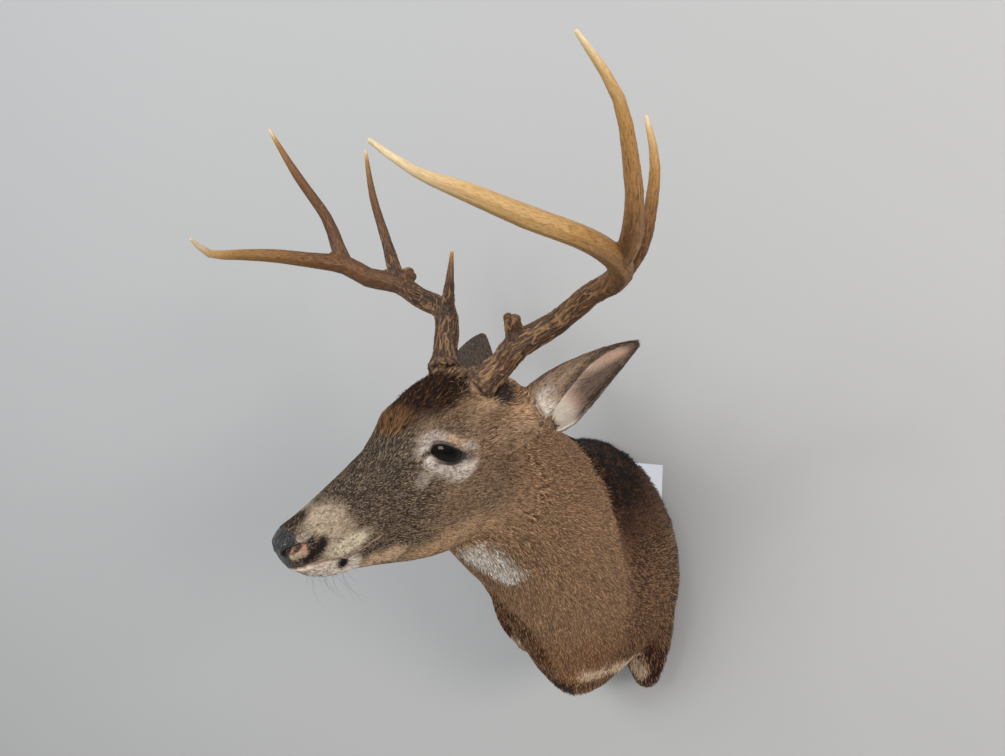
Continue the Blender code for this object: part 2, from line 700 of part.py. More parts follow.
def hanger(parts, cutters, back_board):
    """A steel keyhole plate let into the board, with room behind it for a screw's head."""
    middle = Vector((0, -GAP - HANGER_SIZE.y / 2, HANGER_HEIGHT))
    seat_size = HANGER_SIZE + Vector((2, 0, 2)) * GAP
    seat_size.y = 2 * (HANGER_SIZE.y + 2 * GAP)
    boolean(back_board, as_guide(block("hanger_seat", seat_size, Vector((0, 0, HANGER_HEIGHT)),
                                       cutters)))
    boolean(back_board, as_guide(block("screw_room", SCREW_ROOM, Vector((0, 0, HANGER_HEIGHT)),
                                       cutters)))
    plate = block("hanger_plate", HANGER_SIZE, middle, parts)
    width, reach = KEYHOLE_SLOT
    hole = bmesh.new()
    bmesh.ops.create_cone(hole, cap_ends=True, segments=16, radius1=KEYHOLE_RADIUS,
                          radius2=KEYHOLE_RADIUS, depth=0.02)
    bmesh.ops.rotate(hole, matrix=Matrix.Rotation(pi / 2, 3, "X"), verts=hole.verts)
    bmesh.ops.translate(hole, vec=(0, 0, HANGER_HEIGHT - reach / 2), verts=hole.verts)
    boolean(plate, as_guide(object_from(hole, "keyhole", cutters)))
    slot = block("keyhole_slot", Vector((width, 0.02, reach)), Vector((0, 0, HANGER_HEIGHT)),
                 cutters)
    return boolean(plate, as_guide(slot))


def main():
    clear_scene()
    parts = collection("deer_shoulder_mount")
    cutters = collection("cutters")
    frame = bpy.data.objects.new("head_frame", None)
    frame.matrix_world = HEAD_FRAME
    parts.objects.link(frame)
    bpy.context.view_layer.update()
    looks = {name: material(name) for name in COLOURS}

    forms = [head_form(cutters, frame), body_form(cutters)]
    for side, points in LEG_STUBS.items():
        path = rounded_ends(smooth_path(in_metres(points), LIMB_STEP))
        forms.append(tube(f"stub_form_{side}", path, cutters))
    for side in ("left", "right"):
        orbit = (EYE_RADIUS + LID_THICKNESS) * Vector((1, 1, 1))
        forms.append(ellipsoid(f"orbit_{side}", mirrored(EYE_PLACE, side), orbit, cutters, frame))
        middle, size = BROW_RIDGE
        forms.append(ellipsoid(f"brow_{side}", mirrored(middle, side), size, cutters, frame))
        middle, size = SCALP
        forms.append(ellipsoid(f"scalp_{side}", mirrored(middle, side), size, cutters, frame))
        forms.append(ear_root_form(side, cutters, frame))
    flesh = blended_flesh(forms, cutters)
    for form in forms:
        bpy.data.objects.remove(form, do_unlink=True)

    wall = block("wall", WALL_SIZE, Vector((0, WALL_SIZE.y / 2 - HIDE_OFF_WALL, 0)), cutters)
    boolean(flesh, as_guide(wall))
    for side in ("left", "right"):
        socket = Vector((1, 1, 1)) * (EYE_RADIUS + GAP / MM)
        boolean(flesh, as_guide(ellipsoid(f"socket_{side}", mirrored(EYE_PLACE, side), socket,
                                          cutters, frame, segments=16)))
        boolean(flesh, almond_cutter(side, cutters, frame))
        distance = EAR_ROOT_SHARE * EAR_LENGTH * MM - GAP / 2
        boolean(flesh, ear_root_cutter(side, distance, 1, EAR_STUMP_REACH, cutters, frame))
        seat = as_guide(tube(f"burr_seat_{side}", beam_path(side), cutters, frame, grow=GAP))
        boolean(flesh, seat)
        middle, size = NOSTRIL
        boolean(flesh, as_guide(ellipsoid(f"nostril_{side}", mirrored(middle, side), size,
                                          cutters, frame, segments=10)))
    boolean(flesh, as_guide(board("board_pocket", BOARD_THICKNESS + GAP, GAP, cutters)))
    pieces = part_flesh(flesh, parts, cutters, frame)
    back_board = board("back_board", BOARD_THICKNESS, 0.0, parts)

    finishes = {"nose_pad": "nose", "head": "face", "lower_jaw": "face"}
    for name, piece in pieces.items():
        finish_piece(piece, looks[finishes.get(name, "hide")])
    finish_piece(hanger(parts, cutters, back_board), looks["hanger"])
    finish_piece(back_board, looks["board"])
    for side in ("left", "right"):
        finish_piece(ear(side, parts, cutters, frame), looks["ear"])
        eye = ellipsoid(f"eye_{side}", mirrored(EYE_PLACE, side),
                        EYE_RADIUS * Vector((1, 1, 1)), parts, frame, segments=16)
        finish_piece(eye, looks["eye"])
        for name, piece in antler(side, parts, cutters, frame).items():
            pale = name in ("beam_tip", "g2", "g3")
            finish_piece(piece, looks["antler_tip" if pale else "antler"])


main()
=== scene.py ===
from math import cos, pi, radians, sin

import bmesh
import bpy
import numpy as np
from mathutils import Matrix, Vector
from mathutils.bvhtree import BVHTree


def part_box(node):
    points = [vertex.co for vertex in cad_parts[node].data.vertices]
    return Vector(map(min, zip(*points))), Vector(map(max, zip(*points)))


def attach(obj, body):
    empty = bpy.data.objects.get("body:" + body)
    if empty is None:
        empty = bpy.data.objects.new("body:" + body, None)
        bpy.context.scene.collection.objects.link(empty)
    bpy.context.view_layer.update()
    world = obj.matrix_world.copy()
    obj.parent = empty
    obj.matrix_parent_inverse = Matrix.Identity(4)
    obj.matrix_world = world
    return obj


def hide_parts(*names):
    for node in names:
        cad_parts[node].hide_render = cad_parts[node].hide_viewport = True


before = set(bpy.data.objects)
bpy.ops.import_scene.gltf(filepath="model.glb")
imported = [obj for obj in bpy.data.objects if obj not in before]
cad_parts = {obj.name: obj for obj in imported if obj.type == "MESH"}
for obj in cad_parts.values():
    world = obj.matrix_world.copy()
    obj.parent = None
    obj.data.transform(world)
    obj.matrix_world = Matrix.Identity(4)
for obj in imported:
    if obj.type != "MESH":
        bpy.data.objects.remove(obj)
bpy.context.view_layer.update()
mm = 0.001
print("frame loaded:", len(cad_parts), "solids")


# small helpers

def linear(hexColour):              # "#8a6f5a" to linear red, green and blue
    values = [int(hexColour[i:i + 2], 16) / 255 for i in (1, 3, 5)]
    return np.array([v / 12.92 if v <= 0.04045 else ((v + 0.055) / 1.055) ** 2.4 for v in values])


def rgba(hexColour):
    return (*linear(hexColour), 1)


def unit(vectors):
    return vectors / np.maximum(np.linalg.norm(vectors, axis=-1, keepdims=True), 1e-9)


def soft(value, low, high):         # 0 at low and 1 at high with soft ends; low may be the larger
    share = np.clip((value - low) / (high - low), 0, 1)
    return share * share * (3 - 2 * share)


def brightness(colours):
    return colours @ (0.2126, 0.7152, 0.0722)


def toward(colour, other, share):   # blend rows of colours by a share for each row
    return colour + (np.asarray(other) - colour) * share[:, None]


def cellRandom(cells, seed):        # a steady random value from 0 to 1 for whole-number cells
    x, y, z = (cells[..., axis].astype(np.int64) for axis in range(3))
    mix = x * 374761393 + y * 668265263 + z * 1440662683 + seed * 1274126177
    mix = (mix ^ (mix >> 13)) * 1274126177
    return ((mix ^ (mix >> 16)) & 0xFFFFFF) / 0xFFFFFF


def mottle(points, size, seed=1):   # soft lumps about size across, from -1 to 1
    spot = points / size
    cell = np.floor(spot)
    share = spot - cell
    share = share * share * (3 - 2 * share)
    total = np.zeros(len(points))
    for corner in np.ndindex(2, 2, 2):
        weight = np.prod(np.where(corner, share, 1 - share), axis=-1)
        total += weight * cellRandom(cell + corner, seed)
    return 2 * total - 1


def nearLine(points, line):         # distance to a bent line, and how far along it in corners
    line = np.asarray(line, float)
    gap = np.full(len(points), np.inf)
    along = np.zeros(len(points))
    for i, (start, end) in enumerate(zip(line, line[1:])):
        step = end - start
        share = np.clip((points - start) @ step / (step @ step), 0, 1)
        found = np.linalg.norm(points - start - share[:, None] * step, axis=1)
        along = np.where(found < gap, i + share, along)
        gap = np.minimum(gap, found)
    return gap, along


def blob(points, middle, radii):    # 1 in an ellipsoid's middle, 0 at its surface, soft between
    reach = np.linalg.norm((points - np.asarray(middle)) / np.asarray(radii), axis=1)
    return soft(reach, 1.0, 0.45)


def bothSides(head):                # the head's points with the right side folded on the left
    return np.column_stack((head[:, 0], np.abs(head[:, 1]), head[:, 2]))


# meshes as arrays

def meshFrom(name, points, faces):
    mesh = bpy.data.meshes.new(name)
    mesh.vertices.add(len(points))
    mesh.vertices.foreach_set("co", points.astype(np.float32).ravel())
    mesh.loops.add(faces.size)
    mesh.loops.foreach_set("vertex_index", faces.astype(np.int32).ravel())
    mesh.polygons.add(len(faces))
    mesh.polygons.foreach_set("loop_start", np.arange(0, faces.size, 3, dtype=np.int32))
    mesh.update(calc_edges=True)
    mesh.polygons.foreach_set("use_smooth", np.ones(len(faces), bool))
    return mesh


def pointsOf(mesh):
    values = np.empty(len(mesh.vertices) * 3, np.float32)
    mesh.vertices.foreach_get("co", values)
    return values.reshape(-1, 3).astype(float)


def facesOf(mesh):
    values = np.empty(len(mesh.loops), np.int32)
    mesh.loops.foreach_get("vertex_index", values)
    return values.reshape(-1, 3)


def edgesOf(mesh):
    values = np.empty(len(mesh.edges) * 2, np.int32)
    mesh.edges.foreach_get("vertices", values)
    return values.reshape(-1, 2)


def normalsOf(points, faces):
    a, b, c = (points[faces[:, i]] for i in range(3))
    across = np.cross(b - a, c - a)
    total = np.zeros_like(points)
    for corner in range(3):
        for axis in range(3):
            total[:, axis] += np.bincount(faces[:, corner], across[:, axis], len(points))
    return unit(total)


def spread(values, edges, rounds, strengths=(0.5,), hold=None):   # even out over neighbours
    count = len(values)
    one, two = edges[:, 0], edges[:, 1]
    degree = np.maximum(np.bincount(edges.ravel(), minlength=count), 1)
    values = values.copy()
    for _ in range(rounds):
        for strength in strengths:
            share = strength if hold is None else strength * hold
            for axis in range(values.shape[1]):
                line = values[:, axis]
                total = np.bincount(one, line[two], count) + np.bincount(two, line[one], count)
                values[:, axis] = line + share * (total / degree - line)
    return values


def applied(item):                  # the item's mesh after its modifiers
    graph = bpy.context.evaluated_depsgraph_get()
    graph.update()
    mesh = bpy.data.meshes.new_from_object(item.evaluated_get(graph), depsgraph=graph)
    old = item.data
    item.modifiers.clear()
    item.data = mesh
    bpy.data.meshes.remove(old)
    return mesh


def newPiece(name, mesh, material):
    item = bpy.data.objects.new(name, mesh)
    bpy.context.scene.collection.objects.link(item)
    item.data.materials.clear()
    item.data.materials.append(material)
    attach(item, "root")
    return item


def setColours(mesh, name, colours):
    layer = mesh.color_attributes.new(name, "FLOAT_COLOR", "POINT")
    values = np.ones((len(colours), 4), np.float32)
    values[:, :3] = np.clip(colours, 0, 1)
    layer.data.foreach_set("color", values.ravel())


def setValues(mesh, name, values):
    layer = mesh.attributes.new(name, "FLOAT", "POINT")
    layer.data.foreach_set("value", values.astype(np.float32))


def shellOf(name, nodes, grow, balls=()):     # one mesh of several solids, each grown a little
    bm = bmesh.new()
    for node in nodes:
        bm.from_mesh(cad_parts[node].data)
    bmesh.ops.remove_doubles(bm, verts=bm.verts, dist=0.00001)
    bm.normal_update()
    for vertex in bm.verts:
        vertex.co += vertex.normal * grow
    for middle, radius in balls:
        made = bmesh.ops.create_icosphere(bm, subdivisions=3, radius=radius)
        bmesh.ops.translate(bm, vec=Vector(middle), verts=made["verts"])
    mesh = bpy.data.meshes.new(name)
    bm.to_mesh(mesh)
    bm.free()
    item = bpy.data.objects.new(name, mesh)
    bpy.context.scene.collection.objects.link(item)
    return item


def remeshed(item, voxel):
    step = item.modifiers.new("oneShell", "REMESH")
    step.mode = "VOXEL"
    step.voxel_size = voxel
    return applied(item)


def thinned(item, triangles):
    step = item.modifiers.new("thin", "DECIMATE")
    now = sum(len(face.vertices) - 2 for face in item.data.polygons)
    step.ratio = min(1, triangles / now)
    step.use_collapse_triangulate = True
    return applied(item)


def refined(mesh, chosen):          # split the edges whose two ends are chosen
    bm = bmesh.new()
    bm.from_mesh(mesh)
    bm.verts.ensure_lookup_table()
    edges = [e for e in bm.edges if chosen[e.verts[0].index] and chosen[e.verts[1].index]]
    bmesh.ops.subdivide_edges(bm, edges=edges, cuts=1, use_grid_fill=True, smooth=0.6)
    bmesh.ops.triangulate(bm, faces=bm.faces)
    bm.to_mesh(mesh)
    bm.free()
    return mesh


# nodes of materials and geometry

def addNode(tree, kind, settings=None, inputs=None):    # stops are a colour ramp's places and colours
    node = tree.nodes.new(kind)
    for name, value in (settings or {}).items():
        if name == "stops":
            elements = node.color_ramp.elements
            while len(elements) < len(value):
                elements.new(0.5)
            for element, (place, colour) in zip(elements, value):
                element.position = place
                element.color = rgba(colour)
        else:
            setattr(node, name, value)
    for name, value in (inputs or {}).items():
        socket = node.inputs[name]
        if isinstance(value, bpy.types.NodeSocket):
            tree.links.new(value, socket)
        else:
            socket.default_value = value
    return node


def newMaterial(name):
    material = bpy.data.materials.new(name)
    material.use_nodes = True
    tree = material.node_tree
    return material, tree, tree.nodes["Principled BSDF"]


# the head's own frame: forward to the nose, to the deer's left, up; millimetres

headLook = {
    "nod": radians(19.7),           # nose down
    "eyeForward": 2.0,              # of the eyes' middle in the head's frame
    "eyeUp": 2.0,
}


def boxMiddle(node):
    low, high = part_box(node)
    return np.array((low + high) / 2)


leftEye, rightEye = boxMiddle("eye_left"), boxMiddle("eye_right")
eyeReach = np.linalg.norm(leftEye - rightEye) / 2 / mm
eyeRadius = (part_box("eye_left")[1].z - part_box("eye_left")[0].z) / 2 / mm
leftward = unit(leftEye - rightEye)
level = unit(np.cross(leftward, (0, 0, 1)))
forward = level * cos(headLook["nod"]) - np.array((0, 0, sin(headLook["nod"])))
upward = np.cross(forward, leftward)
headAxes = np.array((forward, leftward, upward))
headOrigin = ((leftEye + rightEye) / 2
              - (forward * headLook["eyeForward"] + upward * headLook["eyeUp"]) * mm)
eyePlace = (headLook["eyeForward"], eyeReach, headLook["eyeUp"])      # of the left solid eye


def toHead(points):
    return (points - headOrigin) @ headAxes.T / mm


def fromHead(points):
    return headOrigin + np.asarray(points, float) @ headAxes * mm


# camera, light and room

roomLook = {
    "cameraPlace": (0.242, -1.246, 0.530),
    "cameraTurn": radians(18.0),
    "cameraDip": radians(8.9),
    "lens": 25.68,
    "wall": "#a3a4a5",
    "floor": "#b9b7b2",
    "floorDrop": 0.95,              # from the wall's origin down to the floor
    "size": 7.0,                    # of wall and floor to each side
    "holeEdge": 0.01,               # of the board that the wall's hole leaves covered
    "sky": "#e9edf2",
    "skyStrength": 0.72,
    "lights": {                     # place, aim, size, power, colour
        "window": ((-1.6, -3.3, 1.9), (0, -0.4, 0.2), 1.6, 86, "#ffffff"),
        "spark": ((-1.6, -3.3, 1.9), (0, -0.4, 0.2), 0.3, 12, "#ffffff"),
        "room": ((2.6, -2.2, 1.5), (0.6, -0.2, 0.2), 1.2, 76, "#fff6ec"),
        "ceiling": ((0.2, -1.1, 2.3), (0, -0.4, 0.2), 1.8, 5, "#ffffff"),
    },
}


def makeCamera():
    bpy.context.scene.view_settings.view_transform = "Standard"
    camera = bpy.data.cameras.new("camera")
    camera.lens = roomLook["lens"]
    camera.sensor_width = 36
    camera.clip_start = 0.05
    item = bpy.data.objects.new("camera", camera)
    item.location = roomLook["cameraPlace"]
    item.rotation_euler = (pi / 2 - roomLook["cameraDip"], 0, roomLook["cameraTurn"])
    bpy.context.scene.collection.objects.link(item)
    bpy.context.scene.camera = item


def paintMaterial(name, colour):    # matt wall and floor paint, which gives soft even tones
    material, tree, shader = newMaterial(name)
    shader.inputs["Base Color"].default_value = rgba(colour)
    shader.inputs["Roughness"].default_value = 0.85
    if name == "wall_paint":        # open from behind, so that the back can be looked at
        side = addNode(tree, "ShaderNodeNewGeometry").outputs["Backfacing"]
        clear = addNode(tree, "ShaderNodeBsdfTransparent").outputs["BSDF"]
        mix = addNode(tree, "ShaderNodeMixShader", None, {0: side, 1: shader.outputs["BSDF"], 2: clear})
        tree.links.new(mix.outputs["Shader"], tree.nodes["Material Output"].inputs["Surface"])
    return material


def makeRoom():
    size, drop, edge = roomLook["size"], -roomLook["floorDrop"], roomLook["holeEdge"]
    low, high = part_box("back_board")        # the wall is cut out behind the board, to let light in
    left, under, right, over = low[0] + edge, low[2] + edge, high[0] - edge, high[2] - edge
    outer = ((-size, 0, drop), (size, 0, drop), (size, 0, size), (-size, 0, size))
    inner = ((left, 0, under), (right, 0, under), (right, 0, over), (left, 0, over))
    frameFaces = []
    for i in range(4):
        j = (i + 1) % 4
        frameFaces += [(i, j, j + 4), (i, j + 4, i + 4)]
    ground = ((-size, 0, drop), (-size, -size, drop), (size, -size, drop), (size, 0, drop))
    for name, corners, faces in (("wall", outer + inner, frameFaces),
                                 ("floor", ground, ((0, 1, 2), (0, 2, 3)))):
        mesh = meshFrom(name + "_paint", np.array(corners, float), np.array(faces))
        mesh.materials.append(paintMaterial(name + "_paint", roomLook[name]))
        plane = bpy.data.objects.new(name + "_paint", mesh)
        bpy.context.scene.collection.objects.link(plane)

    for name, (place, aim, width, power, colour) in roomLook["lights"].items():
        lamp = bpy.data.lights.new(name, "AREA")
        lamp.size = width
        lamp.energy = power
        lamp.color = linear(colour)
        item = bpy.data.objects.new(name, lamp)
        item.location = place
        item.rotation_euler = (Vector(aim) - Vector(place)).to_track_quat("-Z", "Y").to_euler()
        bpy.context.scene.collection.objects.link(item)
    world = bpy.data.worlds.new("studio")
    world.use_nodes = True
    background = world.node_tree.nodes["Background"]
    background.inputs["Color"].default_value = rgba(roomLook["sky"])
    background.inputs["Strength"].default_value = roomLook["skyStrength"]
    bpy.context.scene.world = world


makeCamera()
makeRoom()
print("room, camera and light are set")


# ears and eyes: measures shared by the skin and the coat, in the head's frame

earLook = {
    "bases": {1: (-108, 57, -8), -1: (-108, 61, -15)},
    "axes": {1: (-0.79, 0.56, 0.26), -1: (-0.72, 0.64, 0.22)},
    "openings": {1: (0.34, 0.75, -0.57), -1: (0.10, 0.66, -0.74)},
    "twist": radians(20),           # forward, from the middle to the tip
    "length": 156.0,
    "shares": (-0.05, 0.07, 0.18, 0.30, 0.45, 0.60, 0.74, 0.86, 0.95, 1.00),
    "radii": (22, 27, 33, 36, 35, 30, 22.8, 15.2, 8.2, 3.8),
    "arcs": (165, 155, 135, 118, 102, 90, 80, 72, 66, 62),
}
eyeLook = {
    "tilt": radians(38),            # the front corner is the higher one
    "rearward": 1.1,                # of the glass, from the middle of the solid eye
    "stretch": 1.55,                # of the glass along the slit
    "halfLength": 20.4,
    "upper": 5.0,                   # rise of the upper lid, and depth of the lower
    "lower": 9.6,
    "fullness": 0.46,               # of the slit's outline, 0.5 for an ellipse
    "frontHigh": 0.8,               # upper lid highest in front
    "rearLow": 0.25,                # lower lid deepest behind
    "lid": 1.4,                     # of the lid's skin over the glass
    "lidWidth": 4.6,                # from the slit to where the lid's shape starts to fade
    "blendWidth": 12.0,
}


def earFrame(side):                 # base, axis and opening direction of one ear
    mirror = np.array((1, side, 1))
    axis = unit(np.array(earLook["axes"][side]) * mirror)
    opening = np.array(earLook["openings"][side]) * mirror
    opening = unit(opening - axis * (opening @ axis))
    return np.array(earLook["bases"][side]) * mirror, axis, opening


def earPlace(head, side):           # share of length, turn round the cup, arc, way to its middle
    base, axis, opening = earFrame(side)
    away = head - base
    share = away @ axis / earLook["length"]
    radius = np.interp(share, earLook["shares"], earLook["radii"])
    arc = np.radians(np.interp(share, earLook["shares"], earLook["arcs"]))
    twist = earLook["twist"] * np.maximum(0, 2 * share - 1)
    forward = np.cross(axis, opening) * -side
    faces = opening * np.cos(twist)[:, None] + forward * np.sin(twist)[:, None]
    across = np.cross(axis, faces)
    middle = base + axis * (share * earLook["length"])[:, None]
    middle = middle + faces * (radius * 0.5 - 10)[:, None]
    out = head - middle
    turn = np.arctan2(np.sum(out * across, axis=1) * -side, -np.sum(out * faces, axis=1))
    return share, turn, arc, -out, np.linalg.norm(out, axis=1) - radius


def eyeMiddle(side):                # of one glass eye
    return np.array((headLook["eyeForward"] - eyeLook["rearward"], eyeReach * side,
                     headLook["eyeUp"]))


def lidEdge(share, upper):          # height of a lid's edge at a share of the slit's half length
    skew = eyeLook["frontHigh"] if upper else -eyeLook["rearLow"]
    rise = eyeLook["upper"] if upper else -eyeLook["lower"]
    return rise * (1 - share ** 2) ** eyeLook["fullness"] * (1 + skew * share)


def fromSlit(along, out, across):   # places in the slit's own directions turned to the head's
    tilt = eyeLook["tilt"]
    return np.column_stack((along * cos(tilt) - across * sin(tilt), out,
                            along * sin(tilt) + across * cos(tilt)))


def eyeSlit(head, side):            # along and up across the slit, and distance outside it
    away = head - eyeMiddle(side)
    tilt = eyeLook["tilt"]
    along = away[:, 0] * cos(tilt) + away[:, 2] * sin(tilt)
    across = away[:, 2] * cos(tilt) - away[:, 0] * sin(tilt)
    half = eyeLook["halfLength"]
    shares = np.cos(np.linspace(0, pi, 25))
    outline = np.vstack((np.column_stack((half * shares, lidEdge(shares, True))),
                         np.column_stack((half * shares, lidEdge(shares, False)))[-2::-1]))
    gap, _ = nearLine(np.column_stack((along, across)), outline)
    share = np.clip(along / half, -1, 1)
    inside = ((across < lidEdge(share, True)) & (across > lidEdge(share, False))
              & (np.abs(along) < half))
    return away, along, across, np.where(inside, -gap, gap)


# the skin: one surface over all the flesh

skinLook = {
    "voxel": 0.0020,
    "triangles": 138000,            # before the eyes, nose and mouth are refined
    "rounds": 14,                   # of smoothing
    "grow": 0.00025,                # of each solid, to close the thin cuts between them
    "pedicle": 15.0,                # ball that closes the skin under each burr
}
fleshNodes = ("head", "lower_jaw", "nose_pad", "neck", "shoulders", "brisket",
              "leg_stub_left", "leg_stub_right", "ear_left", "ear_right")
mouthLine = np.array(((189, 5, -42), (186.3, 17.5, -39), (176.7, 23.7, -40.3), (166, 26, -42.8),
                      (152, 26, -49), (140, 25, -56.5), (120.5, 27, -57.3), (100.3, 30.5, -55.4),
                      (86, 34, -51)))
nostrilLine = ((190, 13, -20), (186, 17.5, -17.5), (179, 22.5, -17.8), (172.5, 25, -18.3))
tearLine = ((19, 52, 11), (26, 50, 9), (33, 48, 4))
faceForms = (                       # start, end, width and height of each soft ridge or hollow
    ((-30, 57, 16), (-62, 54, 8), 17, -3.0),      # temple behind the eye
    ((66, 45, -48), (28, 54, -66), 20, -2.6),     # hollow under the cheek bone
    ((24, 54, -26), (84, 38, -30), 7, 1.0),       # cheek bone ridge
    ((96, 30, -14), (60, 40, -10), 12, -1.8),     # hollow in front of the eye
    ((150, 12, 2), (84, 17, 16), 6, 0.8),         # edge of the nose bone
    ((152, 26, -36), (118, 27, -44), 9, 1.0),     # upper lip
    ((24, 30, -112), (-20, 34, -112), 16, 1.0),   # jaw angle
    ((70, 26, -92), (40, 34, -104), 12, -1.4),    # in front of the jaw muscle
    ((-92, 44, -60), (-100, 36, -110), 18, -3.0), # behind the jaw
)


def skinShell():
    balls = []
    for side in ("left", "right"):
        points = pointsOf(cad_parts[f"antler_{side}_base"].data)
        lowest = points[np.argmin((points - headOrigin) @ upward)]
        burr = points[np.linalg.norm(points - lowest, axis=1) < 0.045].mean(axis=0)
        inward = unit(headOrigin - burr)
        balls.append((burr + inward * 0.010, skinLook["pedicle"] * mm))
    item = shellOf("skin", fleshNodes + ("eye_left", "eye_right"), skinLook["grow"], balls)
    mesh = remeshed(item, skinLook["voxel"])
    points = spread(pointsOf(mesh), edgesOf(mesh), skinLook["rounds"], (0.5, -0.52))
    mesh.vertices.foreach_set("co", points.astype(np.float32).ravel())
    mesh = thinned(item, skinLook["triangles"])
    print("skin shell:", len(mesh.polygons), "triangles")
    for reach in (30, 23):
        head = bothSides(toHead(pointsOf(mesh)))
        atEye = np.linalg.norm(head - eyePlace, axis=1) < reach
        atNose = nearLine(head, nostrilLine)[0] < reach * 0.5
        atMouth = nearLine(head, mouthLine)[0] < reach * 0.35
        mesh = refined(mesh, atEye | atNose | atMouth)
    return item, mesh


def coatDepth(head):                # how far the skin lies under the solids' surface, mm
    face = soft(head[:, 0], -150, -60) * soft(head[:, 2], -190, -120)
    depth = 3.2 * (1 - face) + 1.3 * face
    nose = soft(head[:, 0], 168, 180)
    return depth * (1 - nose) + 0.3 * nose


shoulderGroove = ((-20, -272, 300), (22, -274, 290), (45, -262, 267), (63, -257, 240),
                  (84, -248, 195), (96, -241, 164), (106, -235, 118), (110, -233, 70),
                  (107, -231, 21), (101, -228, -14))
farCrease = ((-95, -385, 130), (-66, -359, 85), (-51, -348, 63), (-34, -336, 39),
             (-13, -315, 3), (2, -279, -55), (0, -256, -86))


def shapeBody(points, normals):     # where the neck lies over the shoulders
    spots = points / mm
    gap, along = nearLine(spots, shoulderGroove)
    push = -4.5 * soft(along, 1, 3) * soft(along, 8.8, 7) * np.exp(-(gap / 11) ** 2)
    gap, along = nearLine(spots, farCrease)
    beyond = farSide(points)
    push -= soft(along, 0.2, 1.5) * soft(along, 6, 4.8) * (
        5.5 * np.exp(-(gap / 8) ** 2) + 5.0 * beyond * np.exp(-(gap / 26) ** 2))
    return points + normals * (push * mm)[:, None]


def farSide(points):                # 1 on the right shoulder's front, past the crease
    x, y, z = points.T / mm
    edge = np.interp(z, (-120, -86, -55, 3, 39, 63, 85, 130), (0, 0, 2, -13, -34, -51, -66, -95))
    return soft(edge - x, 0, 7) * soft(z, 130, 80) * soft(y, -390, -350)


def shapeLids(head):
    stretch = eyeLook["stretch"]
    for side in (1, -1):
        away, along, across, gap = eyeSlit(head, side)
        ball = np.column_stack((along / stretch, across, away[:, 1]))
        reach = np.linalg.norm(ball, axis=1, keepdims=True)
        front = (away[:, 1] * side > 0) & (reach[:, 0] < 34)
        rise = soft(gap, -0.7, 1.0)
        crease = np.exp(-((gap - 5.8) / 1.3) ** 2) * np.where(across > 0, 1.1, 0.7)
        radius = eyeRadius - 2.6 + (eyeLook["lid"] + 2.6) * rise - crease
        radius = radius + 0.5 * np.exp(-((gap - 2.4) / 1.5) ** 2)
        weight = soft(gap, eyeLook["blendWidth"], eyeLook["lidWidth"]) * front
        aim = ball * (radius[:, None] / reach - 1)
        head = head + fromSlit(aim[:, 0] * stretch, aim[:, 2], aim[:, 1]) * weight[:, None]
    return head


def shapeFace(head, normals):       # normals in the head's frame
    folded = bothSides(head)
    push = np.zeros(len(head))
    for start, end, width, height in faceForms:
        gap, _ = nearLine(folded, (start, end))
        push += height * np.exp(-(gap / width) ** 2)
    gap, along = nearLine(folded, mouthLine)
    parting = 1 - 0.45 * soft(along, 5, 8)
    push -= 3.2 * parting * np.exp(-(gap / 1.4) ** 2)
    push += 0.7 * np.exp(-((gap - 3.6) / 1.8) ** 2)
    gap, _ = nearLine(folded, tearLine)
    push -= 1.8 * np.exp(-(gap / 2.2) ** 2)
    head = head + normals * push[:, None]

    gap, along = nearLine(folded, nostrilLine)
    inward = unit(np.array((-0.62, -0.74, -0.10)))
    inward = np.column_stack((np.full(len(head), inward[0]), inward[1] * np.sign(head[:, 1]),
                              np.full(len(head), inward[2])))
    hole = (3.2 + 2.6 * soft(along, 1.6, 0.4)) * np.exp(-(gap / (2.4 + 0.35 * along)) ** 4)
    head = head + inward * hole[:, None]
    rim = 0.9 * np.exp(-((gap - 4.6) / 1.5) ** 2)
    return head + normals * rim[:, None]


def makeSkin():
    item, mesh = skinShell()
    points, faces, edges = pointsOf(mesh), facesOf(mesh), edgesOf(mesh)
    head = toHead(points)
    folded = bothSides(head)
    calm = np.linalg.norm(folded - eyePlace, axis=1) < 40
    points = spread(points, edges, 3, (0.5, -0.52), calm * 1.0)
    normals = normalsOf(points, faces)
    earSheet = nearEar(points, head) > 0.5
    depth = np.where(earSheet, 0.5, coatDepth(head))
    depth = spread(depth[:, None], edges, 10)[:, 0]
    points = shapeBody(points - normals * (depth * mm)[:, None], normals)
    normals = normalsOf(points, faces)
    head = shapeFace(shapeLids(toHead(points)), normals @ headAxes.T)
    points = fromHead(head)
    mesh.vertices.foreach_set("co", points.astype(np.float32).ravel())
    mesh.update()
    mesh.polygons.foreach_set("use_smooth", np.ones(len(mesh.polygons), bool))
    return item, mesh


earTrees = {}
for side, name in ((1, "ear_left"), (-1, "ear_right")):
    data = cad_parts[name].data
    earTrees[side] = BVHTree.FromPolygons([v.co for v in data.vertices],
                                          [p.vertices for p in data.polygons])


def nearEar(points, head):          # 1 on the ears' sheets, 0 elsewhere
    weight = np.zeros(len(points))
    for side, tree in earTrees.items():
        base, axis, _ = earFrame(side)
        out = (head - base) @ axis
        aside = np.linalg.norm(head - base - out[:, None] * axis, axis=1)
        for i in np.nonzero((out > 14) & (aside < 60))[0]:
            if tree.find_nearest(points[i], 0.006)[0] is not None:
                weight[i] = soft(out[i], 14, 30)
    return weight


skinItem, skinMesh = makeSkin()
print("skin sculpted:", len(skinMesh.polygons), "triangles")


# markings, shared by the skin and the coat

